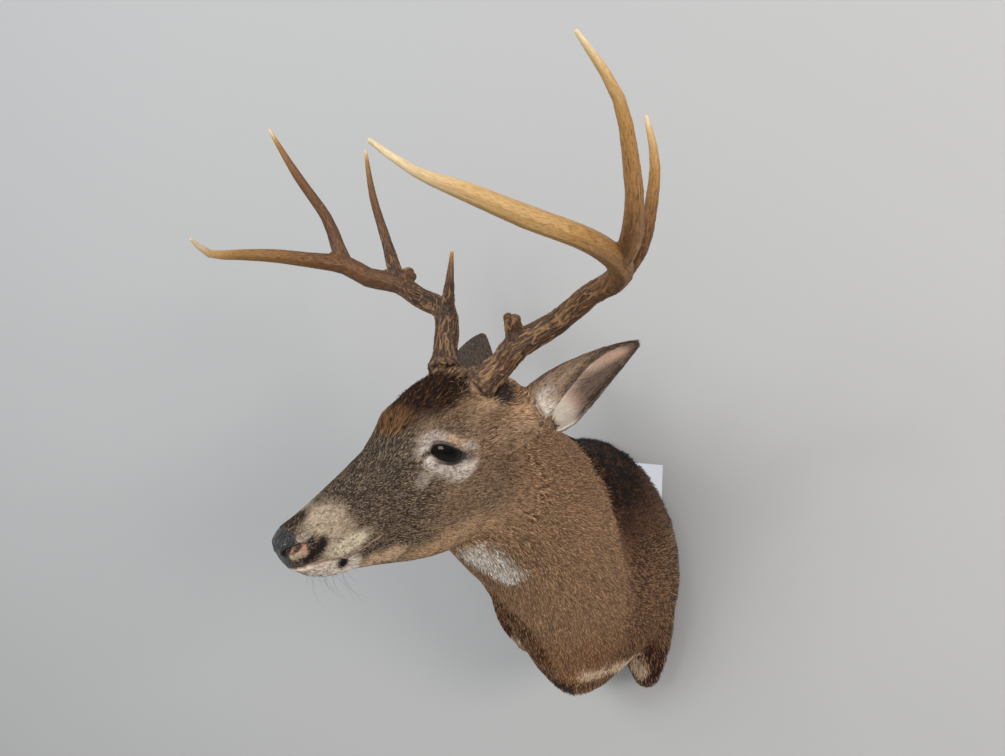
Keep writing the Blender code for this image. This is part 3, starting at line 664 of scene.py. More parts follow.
markingLook = {                     # colours of the coat as it shows on the outside
    "neck": "#a48366",
    "neckTop": "#927157",
    "shoulder": "#5b3f2e",
    "shoulderLow": "#664633",
    "withers": "#150702",
    "withersFleck": "#7a5232",
    "strip": "#6a5443",
    # painted shade: the right shoulder's front, past the crease, is darkened where the neck shades it
    "farSide": "#5d371c",
    "brisket": "#986c4a",
    "brisketShade": "#3c1e0e",
    # painted shade: darker under the chest, between the leg stubs
    "brisketEdge": "#b98a5c",
    "armpit": "#f3cfb1",
    "stub": "#482212",
    "throat": "#f1e6da",
    "eyeRing": "#beb2aa",
    "eyeRingLow": "#cfc2b8",
    "eyeRingTop": "#c4a281",
    "lid": "#120e0c",
    "corner": "#41372f",
    "tear": "#2a211c",
    "mouth": "#0d0908",
    "lip": "#d1b5a4",
    "patch": "#1c120c",
    "nose": "#252526",
    "nostril": "#a77a6e",
    "wing": "#a0958a",
    "under": "#a8937e",
    "chin": "#d2c4b7",
    "earBack": "#836f5d",
    "earTop": "#332a24",
    # painted shade: the right ear's back, darkened as a whole as if turned from the light
    "earFar": "#3d3835",
    "earRim": "#32271f",
    "earInside": "#c5a493",
    "earLight": "#ded6cb",
    "fleck": "#d0a67c",             # pale hair ends: on the neck and trunk, the withers, the face,
    "fleckDark": "#8a5a38",         # the crown and the brow
    "fleckFace": "#cdb795",
    "fleckCrown": "#7a5434",
    "fleckBrow": "#a97c4e",
}
facePatches = (                     # middle and radii on the head's left half, colour, strength
    ((100, 0, -20), (220, 120, 160), "#3d2d27", 1.0),    # over the whole face
    ((-30, 40, -60), (90, 60, 80), "#725541", 1.0),      # cheek
    ((24, 24, -118), (95, 48, 40), "#b59272", 1.0),      # jaw
    ((84, 32, -26), (100, 44, 50), "#3c2c24", 1.0),      # side of the face
    ((60, 20, 10), (110, 40, 40), "#362a23", 1.0),       # below and before the eye
    ((-2, 40, 16), (46, 36, 26), "#46362d", 0.8),        # round the eye
    ((-62, 64, -2), (44, 30, 34), "#795e49", 0.9),       # temple
    ((-104, 62, -22), (34, 40, 36), "#a98c70", 0.9),     # under the ear
    ((34, 10, 44), (26, 36, 13), "#563a29", 0.9),        # ginger band over the brow
    ((-22, 46, 30), (34, 14, 12), "#5f432e", 0.7),
    ((-20, 20, 54), (50, 50, 25), "#332014", 1.2),       # crown between the antlers
    ((-86, 62, 34), (24, 26, 20), "#291c13", 1.1),       # dark tuft behind the burr
    ((142, 16, -16), (34, 30, 32), "#ae9d89", 1.2),      # cream of the muzzle
    ((132, 26, -42), (36, 13, 14), "#c9bca4", 1.0),
    ((166, 0, 1), (20, 17, 10), "#32231a", 1.2),         # dark stripe behind the nose
    ((160, 12, -70), (44, 26, 24), "#e6dad0", 1.2),      # chin
    ((100, 20, -84), (44, 20, 16), "#c9ab8c", 0.9),      # under the jaw
)


def tint(name):
    return linear(markingLook[name])


def eyeGap(head):                   # distance outside the nearer eye slit, and place along and up it
    gap = np.full(len(head), 99.0)
    place = np.zeros((2, len(head)))
    for side in (1, -1):
        away, along, across, found = eyeSlit(head, side)
        close = (np.linalg.norm(away, axis=1) < 46) & (away[:, 1] * side > -6)
        found = np.where(close, found, 99)
        place = np.where(found < gap, (along, across), place)
        gap = np.minimum(gap, found)
    return gap, place[0], place[1]


def noseShare(head):                # 1 on the nose pad's bare leather
    folded = bothSides(head)
    edge = np.interp(folded[:, 2], (-44, -36, -20, -15, -11, -2, 4),
                     (190, 189, 188.5, 183, 176, 178, 181))
    return soft(head[:, 0], edge - 0.8, edge + 0.8) * soft(head[:, 2], -42.5, -40.0)


def bodyMarkings(points, loose):    # neck, shoulders, brisket and leg stubs
    x, y, z = loose.T / mm
    colour = np.tile(tint("neck"), (len(points), 1))
    colour = toward(colour, tint("neckTop"), soft(z, 150, 300) * soft(y, -500, -330))
    colour = toward(colour, tint("brisket"), soft(z, 40, -60))
    line = np.interp(z, (-60, 20, 70, 195, 267, 300), (-228, -231, -233, -248, -262, -272))
    past = soft(y - line, -6, 10 + 22 * soft(z, 200, 60))
    colour = toward(colour, tint("shoulderLow"), 0.8 * past)
    colour = toward(colour, tint("shoulder"), past * soft(z, -30, 90))
    dark = past * soft(z, 120, 195)
    colour = toward(colour, tint("withers"), dark)
    colour = toward(colour, tint("withersFleck"), 0.5 * dark * soft(mottle(points, 0.006, 12), 0.1, 0.7))
    colour = toward(colour, tint("strip"), soft(y, -105, -70) * soft(z, 200, 120))
    # painted shade: the right shoulder's front, past the crease, is darkened where the neck shades it
    colour = toward(colour, tint("farSide"), farSide(loose))
    gap, along = nearLine(np.column_stack((x, y, z)), farCrease)
    fringe = soft(gap, 14, 6) * soft(along, 0.5, 1.6) * soft(along, 4.2, 3.2)
    colour = toward(colour, tint("brisketEdge"), 0.7 * fringe)
    # painted shade: darker under the chest, between the leg stubs
    low = blob(loose, np.array((4, -228, -124)) * mm, np.array((36, 36, 34)) * mm)
    colour = toward(colour, tint("brisketShade"), np.minimum(1, 1.2 * low))
    low = blob(loose, np.array((36, -196, -150)) * mm, np.array((30, 40, 22)) * mm)
    colour = toward(colour, tint("brisketEdge"), low)
    for side in (1, -1):
        stub = soft(side * x, 62, 92) * soft(z, -75, -110)
        colour = toward(colour, tint("stub"), stub)
        gap, _ = nearLine(np.column_stack((side * x, y, z)),
                          ((50, -242, -92), (70, -228, -96), (86, -200, -100), (100, -165, -106),
                           (108, -110, -128), (111, -85, -158)))
        colour = toward(colour, tint("armpit"), soft(gap, 22, 11))
    return colour


def faceMarkings(colour, folded, blur, head, loose):    # the broad patches of face and throat
    onHead = folded + blur
    mask = soft(head[:, 0], -150, -95) * soft(head[:, 2], -170, -120)
    face = colour.copy()
    for middle, radii, patch, strength in facePatches:
        fine = np.array(radii).min() < 14
        share = blob(folded + 0.4 * blur if fine else onHead, middle, radii)
        face = toward(face, linear(patch), np.clip(share * strength, 0, 1))
    colour = colour + (face - colour) * mask[:, None]
    gap, along = nearLine(toHead(loose), ((-20, -6, -172), (-62, -12, -236)))
    streak = soft(mottle(np.column_stack((head[:, 1], head[:, 1], head[:, 0] / 8)), 3.5, 52), -0.6, 0.2)
    colour = toward(colour, tint("throat"), soft(gap, 30 - 7 * along, 17 - 7 * along) * (0.7 + 0.3 * streak))
    return colour


def eyeMarkings(colour, folded, blur, head):
    gap, along, above = eyeGap(head)
    reach = (13.5 + 4 * soft(above, -2, -10) + 5 * soft(along, -10, -22)
             - 2.5 * soft(along, 10, 22) * soft(above, 6, 0))
    ring = soft(gap + 0.35 * blur[:, 0], reach + 6, reach - 4)
    ringTint = toward(np.tile(tint("eyeRing"), (len(head), 1)), tint("eyeRingLow"),
                      soft(above, -6, -10))
    colour = colour + (ringTint - colour) * ((0.9 - 0.2 * soft(above, -2, 6)) * ring)[:, None]
    peach = soft(np.abs(above - 14.5 + 0.3 * blur[:, 1]), 6.5, 3.0) * soft(along, 10, 3)
    peach *= soft(along, -24, -15) * soft(gap, 22, 18)
    wrinkle = 0.75 + 0.25 * soft(np.cos(above * 2.4 + 0.12 * along), -0.6, 0.2)
    colour = toward(colour, tint("eyeRingTop"), 0.9 * peach * wrinkle)
    tearGap, _ = nearLine(folded, ((24, 51, -6), (42, 48, -16)))
    colour = toward(colour, tint("eyeRing"), 0.45 * soft(tearGap + 0.4 * blur[:, 2], 9, 3))
    corner = np.minimum(nearLine(folded, ((17, 53, 13), (29, 48.4, 9.7)))[0],
                        nearLine(folded, ((-15, 57.5, -10), (-24, 57.7, -7.4)))[0])
    colour = toward(colour, tint("corner"), soft(np.minimum(corner, 0.9 * gap), 4.4, 2.6))
    colour = toward(colour, tint("lid"), soft(gap, 2.4, 1.2))
    tearGap, _ = nearLine(folded, tearLine)
    colour = toward(colour, tint("tear"), 0.8 * soft(tearGap, 3.4, 1.6))
    return colour


def muzzleMarkings(colour, folded, blur, head):
    x, _, z = folded.T
    lipHeight = np.interp(x, mouthLine[:, 0][::-1], mouthLine[:, 2][::-1])
    mouthGap, along = nearLine(folded, mouthLine)
    below = soft(lipHeight - z, 0.3, 2.2) * soft(x, 120, 132)
    colour = toward(colour, tint("chin"), 0.95 * below)
    lipShare = soft(mouthGap, 3.2, 1.8) * soft(along, 0.4, 1.2) * soft(along, 7.6, 6.8)
    lipShare *= soft(z - lipHeight, -1, 0.5) + soft(x, 150, 158)
    colour = toward(colour, tint("lip"), 0.7 * np.minimum(1, lipShare))
    spot = np.linalg.norm((folded + 0.5 * blur - (144, 24, -60.5)) / (8.5, 12, 8), axis=1)
    colour = toward(colour, tint("mouth"), soft(spot, 1.1, 0.7) * soft(lipHeight - z, -1.5, 0.5))
    colour = toward(colour, tint("mouth"), soft(mouthGap, 1.9, 0.9) * soft(along, 8, 6.5)
                    * (1 - 0.7 * soft(along, 4.6, 5.2)))
    patchGap = np.minimum(nearLine(folded, ((177, 25, -32.5), (167, 26, -29), (156, 27, -25)))[0],
                          nearLine(folded, ((166, 25, -24), (165, 24, -16)))[0] + 1)
    colour = toward(colour, tint("patch"),
                    soft(patchGap + 0.7 * blur[:, 1], 9.5, 4.5) * soft(z - lipHeight, 1.5, 5))
    wing = nearLine(folded, ((172, 21, -10.5), (168, 23, -11)))[0]
    colour = toward(colour, tint("wing"), 0.8 * soft(wing, 5, 3))
    under = nearLine(folded, ((185, 21, -23.5), (176, 25.5, -24.5)))[0]
    colour = toward(colour, tint("under"), 0.9 * soft(under, 5.0, 2.6))
    colour = toward(colour, tint("nose"), noseShare(head))
    nostrilGap, along = nearLine(folded, nostrilLine)
    colour = toward(colour, tint("nostril"), soft(nostrilGap, 4.6, 3.4) * soft(along, 0.5, 1.1))
    # painted shade: a dark line along the nostril's upper rim, in the mouth's colour
    nostrilShadeGap, along = nearLine(folded - (0, 0, 3.4), nostrilLine)
    colour = toward(colour, tint("mouth"), soft(nostrilShadeGap, 2.0, 1.0))
    return colour


def earMarkings(colour, head, ear, inside):
    for side in (1, -1):
        here = ear * (head[:, 1] * side > 0)
        share, turn, arc, _, _ = earPlace(head, side)
        sheet = np.tile(tint("earBack"), (len(head), 1))
        sheet = toward(sheet, tint("earTop"), 0.45 * soft(turn, 0.4, -0.6))
        sheet = toward(sheet, tint("earTop"), soft(share, 0.45, 0.9))
        sheet = toward(sheet, tint("earTop"), 0.9 * soft(share, 0.3, 0.5) * soft(arc + turn, 1.1, 0.4))
        # painted shade: the right ear's back, darkened as a whole as if turned from the light
        if side < 0:
            sheet = toward(sheet, tint("earFar"), 0.95 * here)
        white = soft(share, 0.34, 0.18) * soft(arc - turn, 1.1, 0.6)
        streak = mottle(np.column_stack((share * 26, turn * 26, 0 * turn)), 2.2, 53)
        sheet = toward(sheet, tint("earLight"), 0.6 * white * soft(streak, -0.9, -0.1))
        inner = np.tile(tint("earInside"), (len(head), 1))
        streak = soft(mottle(np.column_stack((share * 30, turn * 14, 0 * turn)), 4, 51), -0.2, 0.5)
        inner = toward(inner, tint("earLight"), 0.6 * streak * soft(share, 0.8, 0.5))
        inner = toward(inner, tint("earLight"), soft(share, 0.42, 0.22))
        inner = toward(inner, tint("earLight"), soft(turn, 0.1, 0.6) * soft(share, 0.9, 0.7))
        inner = toward(inner, tint("earTop"), 0.8 * soft(turn, -0.3, -0.9) * soft(share, 0.3, 0.5))
        inner = toward(inner, tint("earTop"), soft(share, 0.84, 0.97))
        sheet = sheet + (inner - sheet) * inside[:, None]
        rim = soft(arc - np.abs(turn), 0.36, 0.14) * soft(share, 0.24, 0.4)
        sheet = toward(sheet, tint("earRim"), 0.85 * rim)
        colour = colour + (sheet - colour) * here[:, None]
    return colour


def markings(points, head, ear, inside, scatter=0):     # scatter: mm, a row for each point
    folded = bothSides(head)
    blur = 5 * np.column_stack([mottle(points, 0.014, seed) for seed in (3, 4, 5)]) + scatter
    loose = points + blur * mm
    colour = bodyMarkings(points, loose)
    colour = faceMarkings(colour, folded, blur, head, loose)
    colour = eyeMarkings(colour, folded, blur, head)
    colour = muzzleMarkings(colour, folded, blur, head)
    return earMarkings(colour, head, ear, inside) if ear.any() else colour


# the lie of the coat

def layOf(points, head, ear):       # the way the hair lies, in the row frame
    folded = bothSides(head)
    side = np.sign(head[:, 1])
    one = np.ones(len(points))
    _, y, z = points.T / mm
    high = soft(z, 80, 230)
    low = soft(z, 20, -90)
    neck = np.column_stack((0 * one, 0.75 + 0.2 * high - 0.45 * low, -0.66 + 0.3 * high - 0.26 * low))
    trunk = np.column_stack((0 * one, 0.96 - 0.5 * low, -0.28 + 0.16 * high - 0.55 * low))
    neck = neck + (trunk - neck) * soft(y, -260, -140)[:, None]
    cheek = soft(folded[:, 2], -5, -60) * soft(folded[:, 0], 130, 30)
    face = np.column_stack((-one, side * 0.12 * soft(folded[:, 2], 20, 45), -0.30 * cheek))
    face = unit(face)
    for eye in (1, -1):
        away, _, _, gap = eyeSlit(head, eye)
        flat = away.copy()
        flat[:, 1] = 0
        reach = np.maximum(np.linalg.norm(flat, axis=1, keepdims=True), 6)
        flat = flat / reach
        near = (away[:, 1] * eye > -6)[:, None] * np.exp(-(gap / 16) ** 2)[:, None]
        outward = np.sum(face * flat, axis=1, keepdims=True)
        turned = face - (2 * outward * flat - face) * np.minimum(1, (18 / reach) ** 2)
        face = face + (unit(turned) + 0.5 * flat - face) * near
    face = unit(face) @ headAxes
    share = soft(head[:, 0], -125, -35) * soft(head[:, 2], -170, -105)
    way = neck + (face - neck) * share[:, None]
    for earSide in (1, -1):
        _, axis, _ = earFrame(earSide)
        here = (ear * (head[:, 1] * earSide > 0))[:, None]
        way = way + (axis @ headAxes - way) * here
    return way


coatLook = {
    "seed": 41,
    "neckLength": 13.0,             # of the part of a hair that shows, mm
    "faceLength": 2.8,              # at the muzzle
    "cheekLength": 6.6,             # where the head meets the neck
    "crownLength": 14.0,
    "browLength": 8.5,
    "throatLength": 18.0,
    "brisketLength": 34.0,
    "stripLength": 28.0,            # along the wall
    "earLength": 5.4,
    "eyeLength": 2.8,
    "rootWidth": 0.40,
    "widthPerLength": 0.030,
    "layers": 2.9,                  # tufts over each spot of skin
    "faceLayers": 3.2,
    "earLayers": 2.4,
    "midFrom": 8.8,                 # from this length a tuft swells in its middle
    "longFrom": 19,                 # from this length a tuft bends in its middle
    "mostTriangles": 190000,        # in one piece
    "patch": 0.003,                 # of the bake's square, for each tuft
}


def crownShare(head):
    return blob(head, (-34, 0, 56), (52, 60, 34))


def browShare(head):
    return blob(head, (34, 0, 46), (40, 50, 20))


def brisketShare(points):
    return blob(points, np.array((14, -215, -150)) * mm, np.array((60, 60, 50)) * mm)


def hairLength(points, head, ear):
    y, z = points[:, 1] / mm, points[:, 2] / mm
    length = np.full(len(points), coatLook["neckLength"])
    length += (coatLook["stripLength"] - length) * soft(y, -100, -60)
    length += (coatLook["brisketLength"] - length) * brisketShare(points)
    length += (14 - length) * soft(z, -150, -190)
    throat = blob(head, (-42, 0, -190), (70, 50, 75))
    length += (coatLook["throatLength"] - length) * throat
    face = soft(head[:, 0], -150, -70) * soft(head[:, 2], -180, -118)
    rise = soft(head[:, 0], 130, -60)
    short = coatLook["faceLength"] + (coatLook["cheekLength"] - coatLook["faceLength"]) * rise
    length += (short - length) * face
    length += (coatLook["crownLength"] - length) * np.minimum(1, 1.5 * crownShare(head))
    brow = np.minimum(1, 1.5 * browShare(head)) * (1 - soft(length, 9, 12))
    length += (coatLook["browLength"] - length) * brow
    gap, _, _ = eyeGap(head)
    length += (coatLook["eyeLength"] - length) * soft(gap, 20, 6)
    length += (coatLook["earLength"] - length) * ear
    return length


def hairWidth(length):
    return coatLook["rootWidth"] + coatLook["widthPerLength"] * length


def fleckOf(points, head, base):    # colour of the pale hair ends, and their share
    face = soft(head[:, 0], -120, -30) * soft(head[:, 2], -150, -90)
    y, z = points[:, 1] / mm, points[:, 2] / mm
    dark = soft(y, -262, -240) * soft(z, 60, 160)
    colour = np.tile(tint("fleck"), (len(points), 1))
    colour = toward(colour, tint("fleckDark"), dark)
    colour = toward(colour, tint("fleckFace"), face)
    crown = blob(head, (-10, 0, 52), (80, 70, 36))
    colour = toward(colour, tint("fleckCrown"), crown)
    brow = blob(head, (36, 0, 46), (36, 46, 18))
    colour = toward(colour, tint("fleckBrow"), brow)
    light = brightness(base)
    colour = colour * (1 + 0.10 * face)[:, None]
    colour = colour + (base * 1.4 - colour) * soft(light, 0.22, 0.45)[:, None]
    share = (0.28 - 0.08 * dark + 0.06 * face - 0.08 * crown + 0.16 * brow) * soft(light, 0.006, 0.04)
    return colour, share


def bareShare(points, head, ear, inside):     # 1 where no tuft grows
    folded = bothSides(head)
    gap, _, _ = eyeGap(head)
    bare = np.maximum(noseShare(head), soft(gap, 2.6, 1.6))
    bare = np.maximum(bare, soft(nearLine(folded, nostrilLine)[0], 4.2, 3.0))
    bare = np.maximum(bare, soft(nearLine(folded, mouthLine)[0], 2.0, 1.2))
    bare = np.maximum(bare, 0.7 * ear * inside)
    return np.maximum(bare, soft(points[:, 1], -0.004, -0.002))


skinPoints, skinFaces, skinEdges = pointsOf(skinMesh), facesOf(skinMesh), edgesOf(skinMesh)
skinNormals = normalsOf(skinPoints, skinFaces)
skinHead = toHead(skinPoints)
skinEar = nearEar(skinPoints, skinHead)
skinInside = np.zeros(len(skinPoints))
for side in (1, -1):
    _, _, _, inward, _ = earPlace(skinHead, side)
    facing = soft(np.sum(skinNormals @ headAxes.T * unit(inward), axis=1), -0.2, 0.3)
    skinInside = np.where(skinHead[:, 1] * side > 0, facing, skinInside) * (skinEar > 0)
skinColour = markings(skinPoints, skinHead, skinEar, skinInside)
skinBare = bareShare(skinPoints, skinHead, skinEar, skinInside)
skinLay = layOf(skinPoints, skinHead, skinEar)
for _ in range(4):
    skinLay -= skinNormals * np.sum(skinLay * skinNormals, axis=1, keepdims=True)
    skinLay = spread(unit(skinLay), skinEdges, 6)
skinLay = unit(skinLay - skinNormals * np.sum(skinLay * skinNormals, axis=1, keepdims=True))
skinTree = BVHTree.FromPolygons(skinPoints.tolist(), skinFaces.tolist())
print("markings and lie of the coat are set")


def drape(spots):                   # the nearest places on the skin, and its normals there
    place = np.empty_like(spots)
    normal = np.empty_like(spots)
    for i, spot in enumerate(spots.tolist()):
        found = skinTree.find_nearest(spot)
        place[i] = found[0]
        normal[i] = found[1]
    return place, normal


def hairMaterial(name, roughness):  # deer hair: dull, with a faint gloss along each lock
    material, tree, shader = newMaterial(name)
    colour = addNode(tree, "ShaderNodeAttribute", {"attribute_name": "coat"})
    tree.links.new(colour.outputs["Color"], shader.inputs["Base Color"])
    shader.inputs["Roughness"].default_value = roughness
    shader.inputs["Specular IOR Level"].default_value = 0.15
    return material


def unwrap(points, head, group):    # a flat place for every root, from the skin's own shape
    if "ear" in group:
        side = 1 if "left" in group else -1
        base, axis, opening = earFrame(side)
        away = head - base
        return away @ axis, np.degrees(np.arctan2(away @ opening, away @ np.cross(axis, opening)))
    if "face" in group:
        return head[:, 0], np.degrees(np.arctan2(head[:, 1], head[:, 2] + 30))
    x, y, z = points.T / mm
    ahead = np.maximum(0, -250 - y)
    return y, np.degrees(np.arctan2(x + 0.1 * ahead, z - 40 - 0.25 * ahead))


def tufts(roots, seedStep):         # points, faces and colours of many tufts, one row for each
    rng = np.random.default_rng(coatLook["seed"] + seedStep)
    count = len(roots["place"])
    length, width, depth = (roots[name][:, None] * mm for name in ("length", "width", "depth"))
    place, normal = roots["place"], roots["normal"]
    way = roots["way"] + roots["stir"][:, None] * rng.standard_normal((count, 3))
    way = unit(way - normal * np.sum(way * normal, axis=1, keepdims=True))
    lift = roots["lift"][:, None]
    kind = roots["kind"]
    half = length * 0.5
    middle, middleNormal = drape(place + way * half)
    turned = way + 0.10 * rng.standard_normal((count, 3))
    turned = unit(turned - middleNormal * np.sum(turned * middleNormal, axis=1, keepdims=True))
    if kind == "long":
        tip, tipNormal = drape(middle + turned * half)
    else:
        tip, tipNormal = middle + turned * half, middleNormal
    stray = rng.random((count, 1))
    middle = middle + middleNormal * (depth * (0.55 + 0.35 * stray) + lift * length * 0.4)
    tip = tip + tipNormal * (depth * (0.75 + 0.5 * rng.random((count, 1))) + lift * length)
    start = place - normal * 0.5 * mm
    roll = 0.55 * rng.standard_normal((count, 1))

    def ring(centre, up, size):
        across = unit(np.cross(up, way))
        across = across * np.cos(roll) + up * np.sin(roll)
        rise = unit(np.cross(way, across))
        side = across * width * size * 0.5
        return centre - side, centre + side, centre + rise * width * size * 0.42

    if kind == "long":
        rows = [*ring(start, normal, 0.7), *ring(middle, middleNormal, 1.0), tip]
        pattern = [(0, 2, 1)]
        for i in range(3):
            j = (i + 1) % 3
            pattern += [(i, j, j + 3), (i, j + 3, i + 3), (i + 3, j + 3, 6)]
        reach = (0, 0, 0, 0.5, 0.5, 0.5, 1)
    elif kind == "tiny":
        rows = [*ring(start, normal, 1.0), tip]
        pattern = [(0, 2, 1), (0, 1, 3), (1, 2, 3), (2, 0, 3)]
        reach = (0.3, 0.3, 0.3, 1)
    else:
        belly = start + (middle - start) * 1.1
        rows = [start, *ring(belly, normal, 1.0), tip]
        pattern = []
        for i in range(3):
            j = (i + 1) % 3
            pattern += [(0, j + 1, i + 1), (i + 1, j + 1, 4)]
        reach = (0, 0.55, 0.55, 0.55, 1)
    points = np.stack(rows, axis=1)
    points[:, :, 1] = np.minimum(points[:, :, 1], -0.0006)
    each = points.shape[1]
    faces = np.array(pattern)[None] + np.arange(count)[:, None, None] * each
    corner = points.reshape(-1, 3)[faces.reshape(-1, 3)]
    volume = np.einsum("ij,ij->i", corner[:, 0] - start.repeat(len(pattern), axis=0),
                       np.cross(corner[:, 1] - start.repeat(len(pattern), axis=0),
                                corner[:, 2] - start.repeat(len(pattern), axis=0)))
    inverted = volume.reshape(count, -1).sum(axis=1) < 0
    faces[inverted] = faces[inverted][:, :, ::-1]

    base = roots["colour"]
    shade = np.exp(roots["contrast"] * rng.standard_normal(count))
    patch = 2 * soft(mottle(place, 0.0022, 9), -0.25, 0.25) - 1
    streak = 1 + 0.12 * mottle(place, 0.007, 8) + roots["salt"] * patch
    body = base * (shade * streak)[:, None]
    pick = rng.random(count)
    pale = (pick < roots["fleckShare"])[:, None]
    dark = (pick > 0.64)[:, None]
    level = shade[:, None] * 0.5 + 0.5
    calm = soft(brightness(base), 0.10, 0.50)[:, None]
    tip = np.where(pale, roots["fleck"] * level, np.where(dark, body * (0.30 + 0.5 * calm), body * 1.1))
    belly = np.where(pale, body + 0.75 * (tip - body), np.where(dark, body * (0.6 + 0.3 * calm), body))
    # painted shade: each tuft's root is darkened to half, and a tiny tuft's base to 0.6, where the tufts
    # shade each other at the skin
    tones = {0: body * 0.5, 0.3: belly * 0.6, 0.5: belly, 0.55: belly, 1: tip}
    colours = np.stack([tones[share] for share in reach], axis=1)
    return points, faces, colours, np.array(reach)


def coatPiece(name, roots, chosen, slot, seedStep):
    part = {key: (value if isinstance(value, str) else value[chosen]) for key, value in roots.items()}
    points, faces, colours, reach = tufts(part, seedStep)
    mesh = meshFrom(name, points.reshape(-1, 3), faces.reshape(-1, 3))
    setColours(mesh, "coat", colours.reshape(-1, 3))
    flat = np.column_stack(unwrap(part["place"], part["head"], name))
    low, high = flat.min(axis=0), flat.max(axis=0)
    wide = coatLook["patch"]
    flat = wide + (1 - 3 * wide) * (flat - low) / (high - low)
    patch = np.zeros((len(flat), points.shape[1], 2))
    patch[:, :, 0] = flat[:, :1] + wide * reach
    patch[:, :, 1] = flat[:, 1:] + wide * np.linspace(0, 1, points.shape[1])
    layer = mesh.uv_layers.new(name="OFBake")
    layer.data.foreach_set("uv", patch.reshape(-1, 2)[faces.ravel()].astype(np.float32).ravel())
    newPiece(name, mesh, hairMaterials[slot])
    return len(mesh.polygons)


hairMaterials = {
    "face_hair": hairMaterial("short_deer_hair", 0.62),
    "body_hair": hairMaterial("winter_deer_hair", 0.58),
    "ear_hair": hairMaterial("fine_ear_hair", 0.66),
}


def makeCoat():
    rng = np.random.default_rng(coatLook["seed"])
    length = hairLength(skinPoints, skinHead, skinEar)
    width = hairWidth(length)
    layers = np.where(length < 10, coatLook["faceLayers"], coatLook["layers"])
    layers = layers + (coatLook["earLayers"] - layers) * skinEar
    density = layers / (length * width) * (1 - skinBare)
    corners = skinPoints[skinFaces]
    area = np.linalg.norm(np.cross(corners[:, 1] - corners[:, 0], corners[:, 2] - corners[:, 0]),
                          axis=1) / 2 / mm ** 2
    total = np.cumsum(area * density[skinFaces].mean(axis=1))
    count = int(total[-1])
    marks = (np.arange(count) + rng.random(count)) * (total[-1] / count)
    face = np.minimum(np.searchsorted(total, marks), len(skinFaces) - 1)
    share = np.sort(rng.random((count, 2)), axis=1)
    weight = np.column_stack((share[:, 0], share[:, 1] - share[:, 0], 1 - share[:, 1]))[:, :, None]

    def at(values):
        values = values if values.ndim > 1 else values[:, None]
        return np.sum(values[skinFaces[face]] * weight, axis=1)

    place, normal = at(skinPoints), unit(at(skinNormals))
    head = toHead(place)
    ear, inside, length = at(skinEar)[:, 0], at(skinInside)[:, 0], at(length)[:, 0]
    faceArea = soft(head[:, 0], -150, -95) * soft(head[:, 2], -175, -125) > 0.5
    depth = 0.8 + 1.7 * soft(length, 6, 16)
    crown = crownShare(head)
    strip = soft(place[:, 1] / mm, -100, -60)
    scatter = rng.normal(0, 1, (count, 3)) * np.where(faceArea, 2.6, 4.5)[:, None]
    colour = markings(place, head, ear, inside, scatter)
    fleck, share = fleckOf(place, head, colour)
    roots = {
        "place": place, "normal": normal, "way": unit(at(skinLay)), "head": head,
        "length": length * np.exp(0.16 * rng.standard_normal(count)),
        "width": hairWidth(length), "depth": depth * np.where(ear > 0.5, 0.8, 1),
        "lift": (0.015 + 0.22 * np.minimum(1, crown + browShare(head))
                 + 0.14 * brisketShare(place) + 0.16 * strip),
        "colour": colour, "fleck": fleck, "fleckShare": share,
        "contrast": np.where(faceArea, 0.42, 0.24), "salt": np.where(faceArea, 0.70, 0.22),
        "stir": 0.13 + 0.40 * np.minimum(1, 1.5 * crown),
        "kind": "",
    }
    left = head[:, 1] > 0
    neckLeft = place[:, 0] > -0.12 * (-place[:, 1] - 0.2).clip(0)        # the neck turns right
    sideNames = np.where(np.where(faceArea | (ear > 0.5), left, neckLeft), "left", "right")
    region = np.where(place[:, 1] < -0.30, "neck", "shoulder")
    region = np.where((place[:, 2] < -0.02) & (region == "shoulder"), "brisket", region)
    region = np.where(faceArea, "face", region)
    region = np.where(ear > 0.5, "ear", region)
    names = np.char.add(np.char.add("coat_", region), np.char.add("_", sideNames))
    slots = {"face": "face_hair", "ear": "ear_hair"}
    kinds = {                       # triangles in a tuft, and the lengths it is for
        "tiny": (4, 0, coatLook["midFrom"]),
        "short": (6, coatLook["midFrom"], coatLook["longFrom"]),
        "long": (10, coatLook["longFrom"], 99),
    }
    made = 0
    for step, name in enumerate(sorted(set(names.tolist()))):
        kind = name.split("_")[1]
        for tuft, (each, shortest, longest) in kinds.items():
            chosen = np.nonzero((names == name) & (length >= shortest) & (length < longest))[0]
            if not len(chosen):
                continue
            roots["kind"] = tuft
            parts = int(np.ceil(len(chosen) * each / coatLook["mostTriangles"]))
            chosen = chosen[np.argsort(place[chosen, 2], kind="stable")]
            for number, chunk in enumerate(np.array_split(chosen, parts)):
                title = f"{name}_{tuft}"
                title += f"_{number + 1}" if parts > 1 else ""
                triangles = coatPiece(title, roots, chunk, slots.get(kind, "body_hair"),
                                      100 * step + 10 * number + each)
                made += triangles
                print(" ", title, triangles)
    print("coat:", count, "tufts,", made, "triangles")


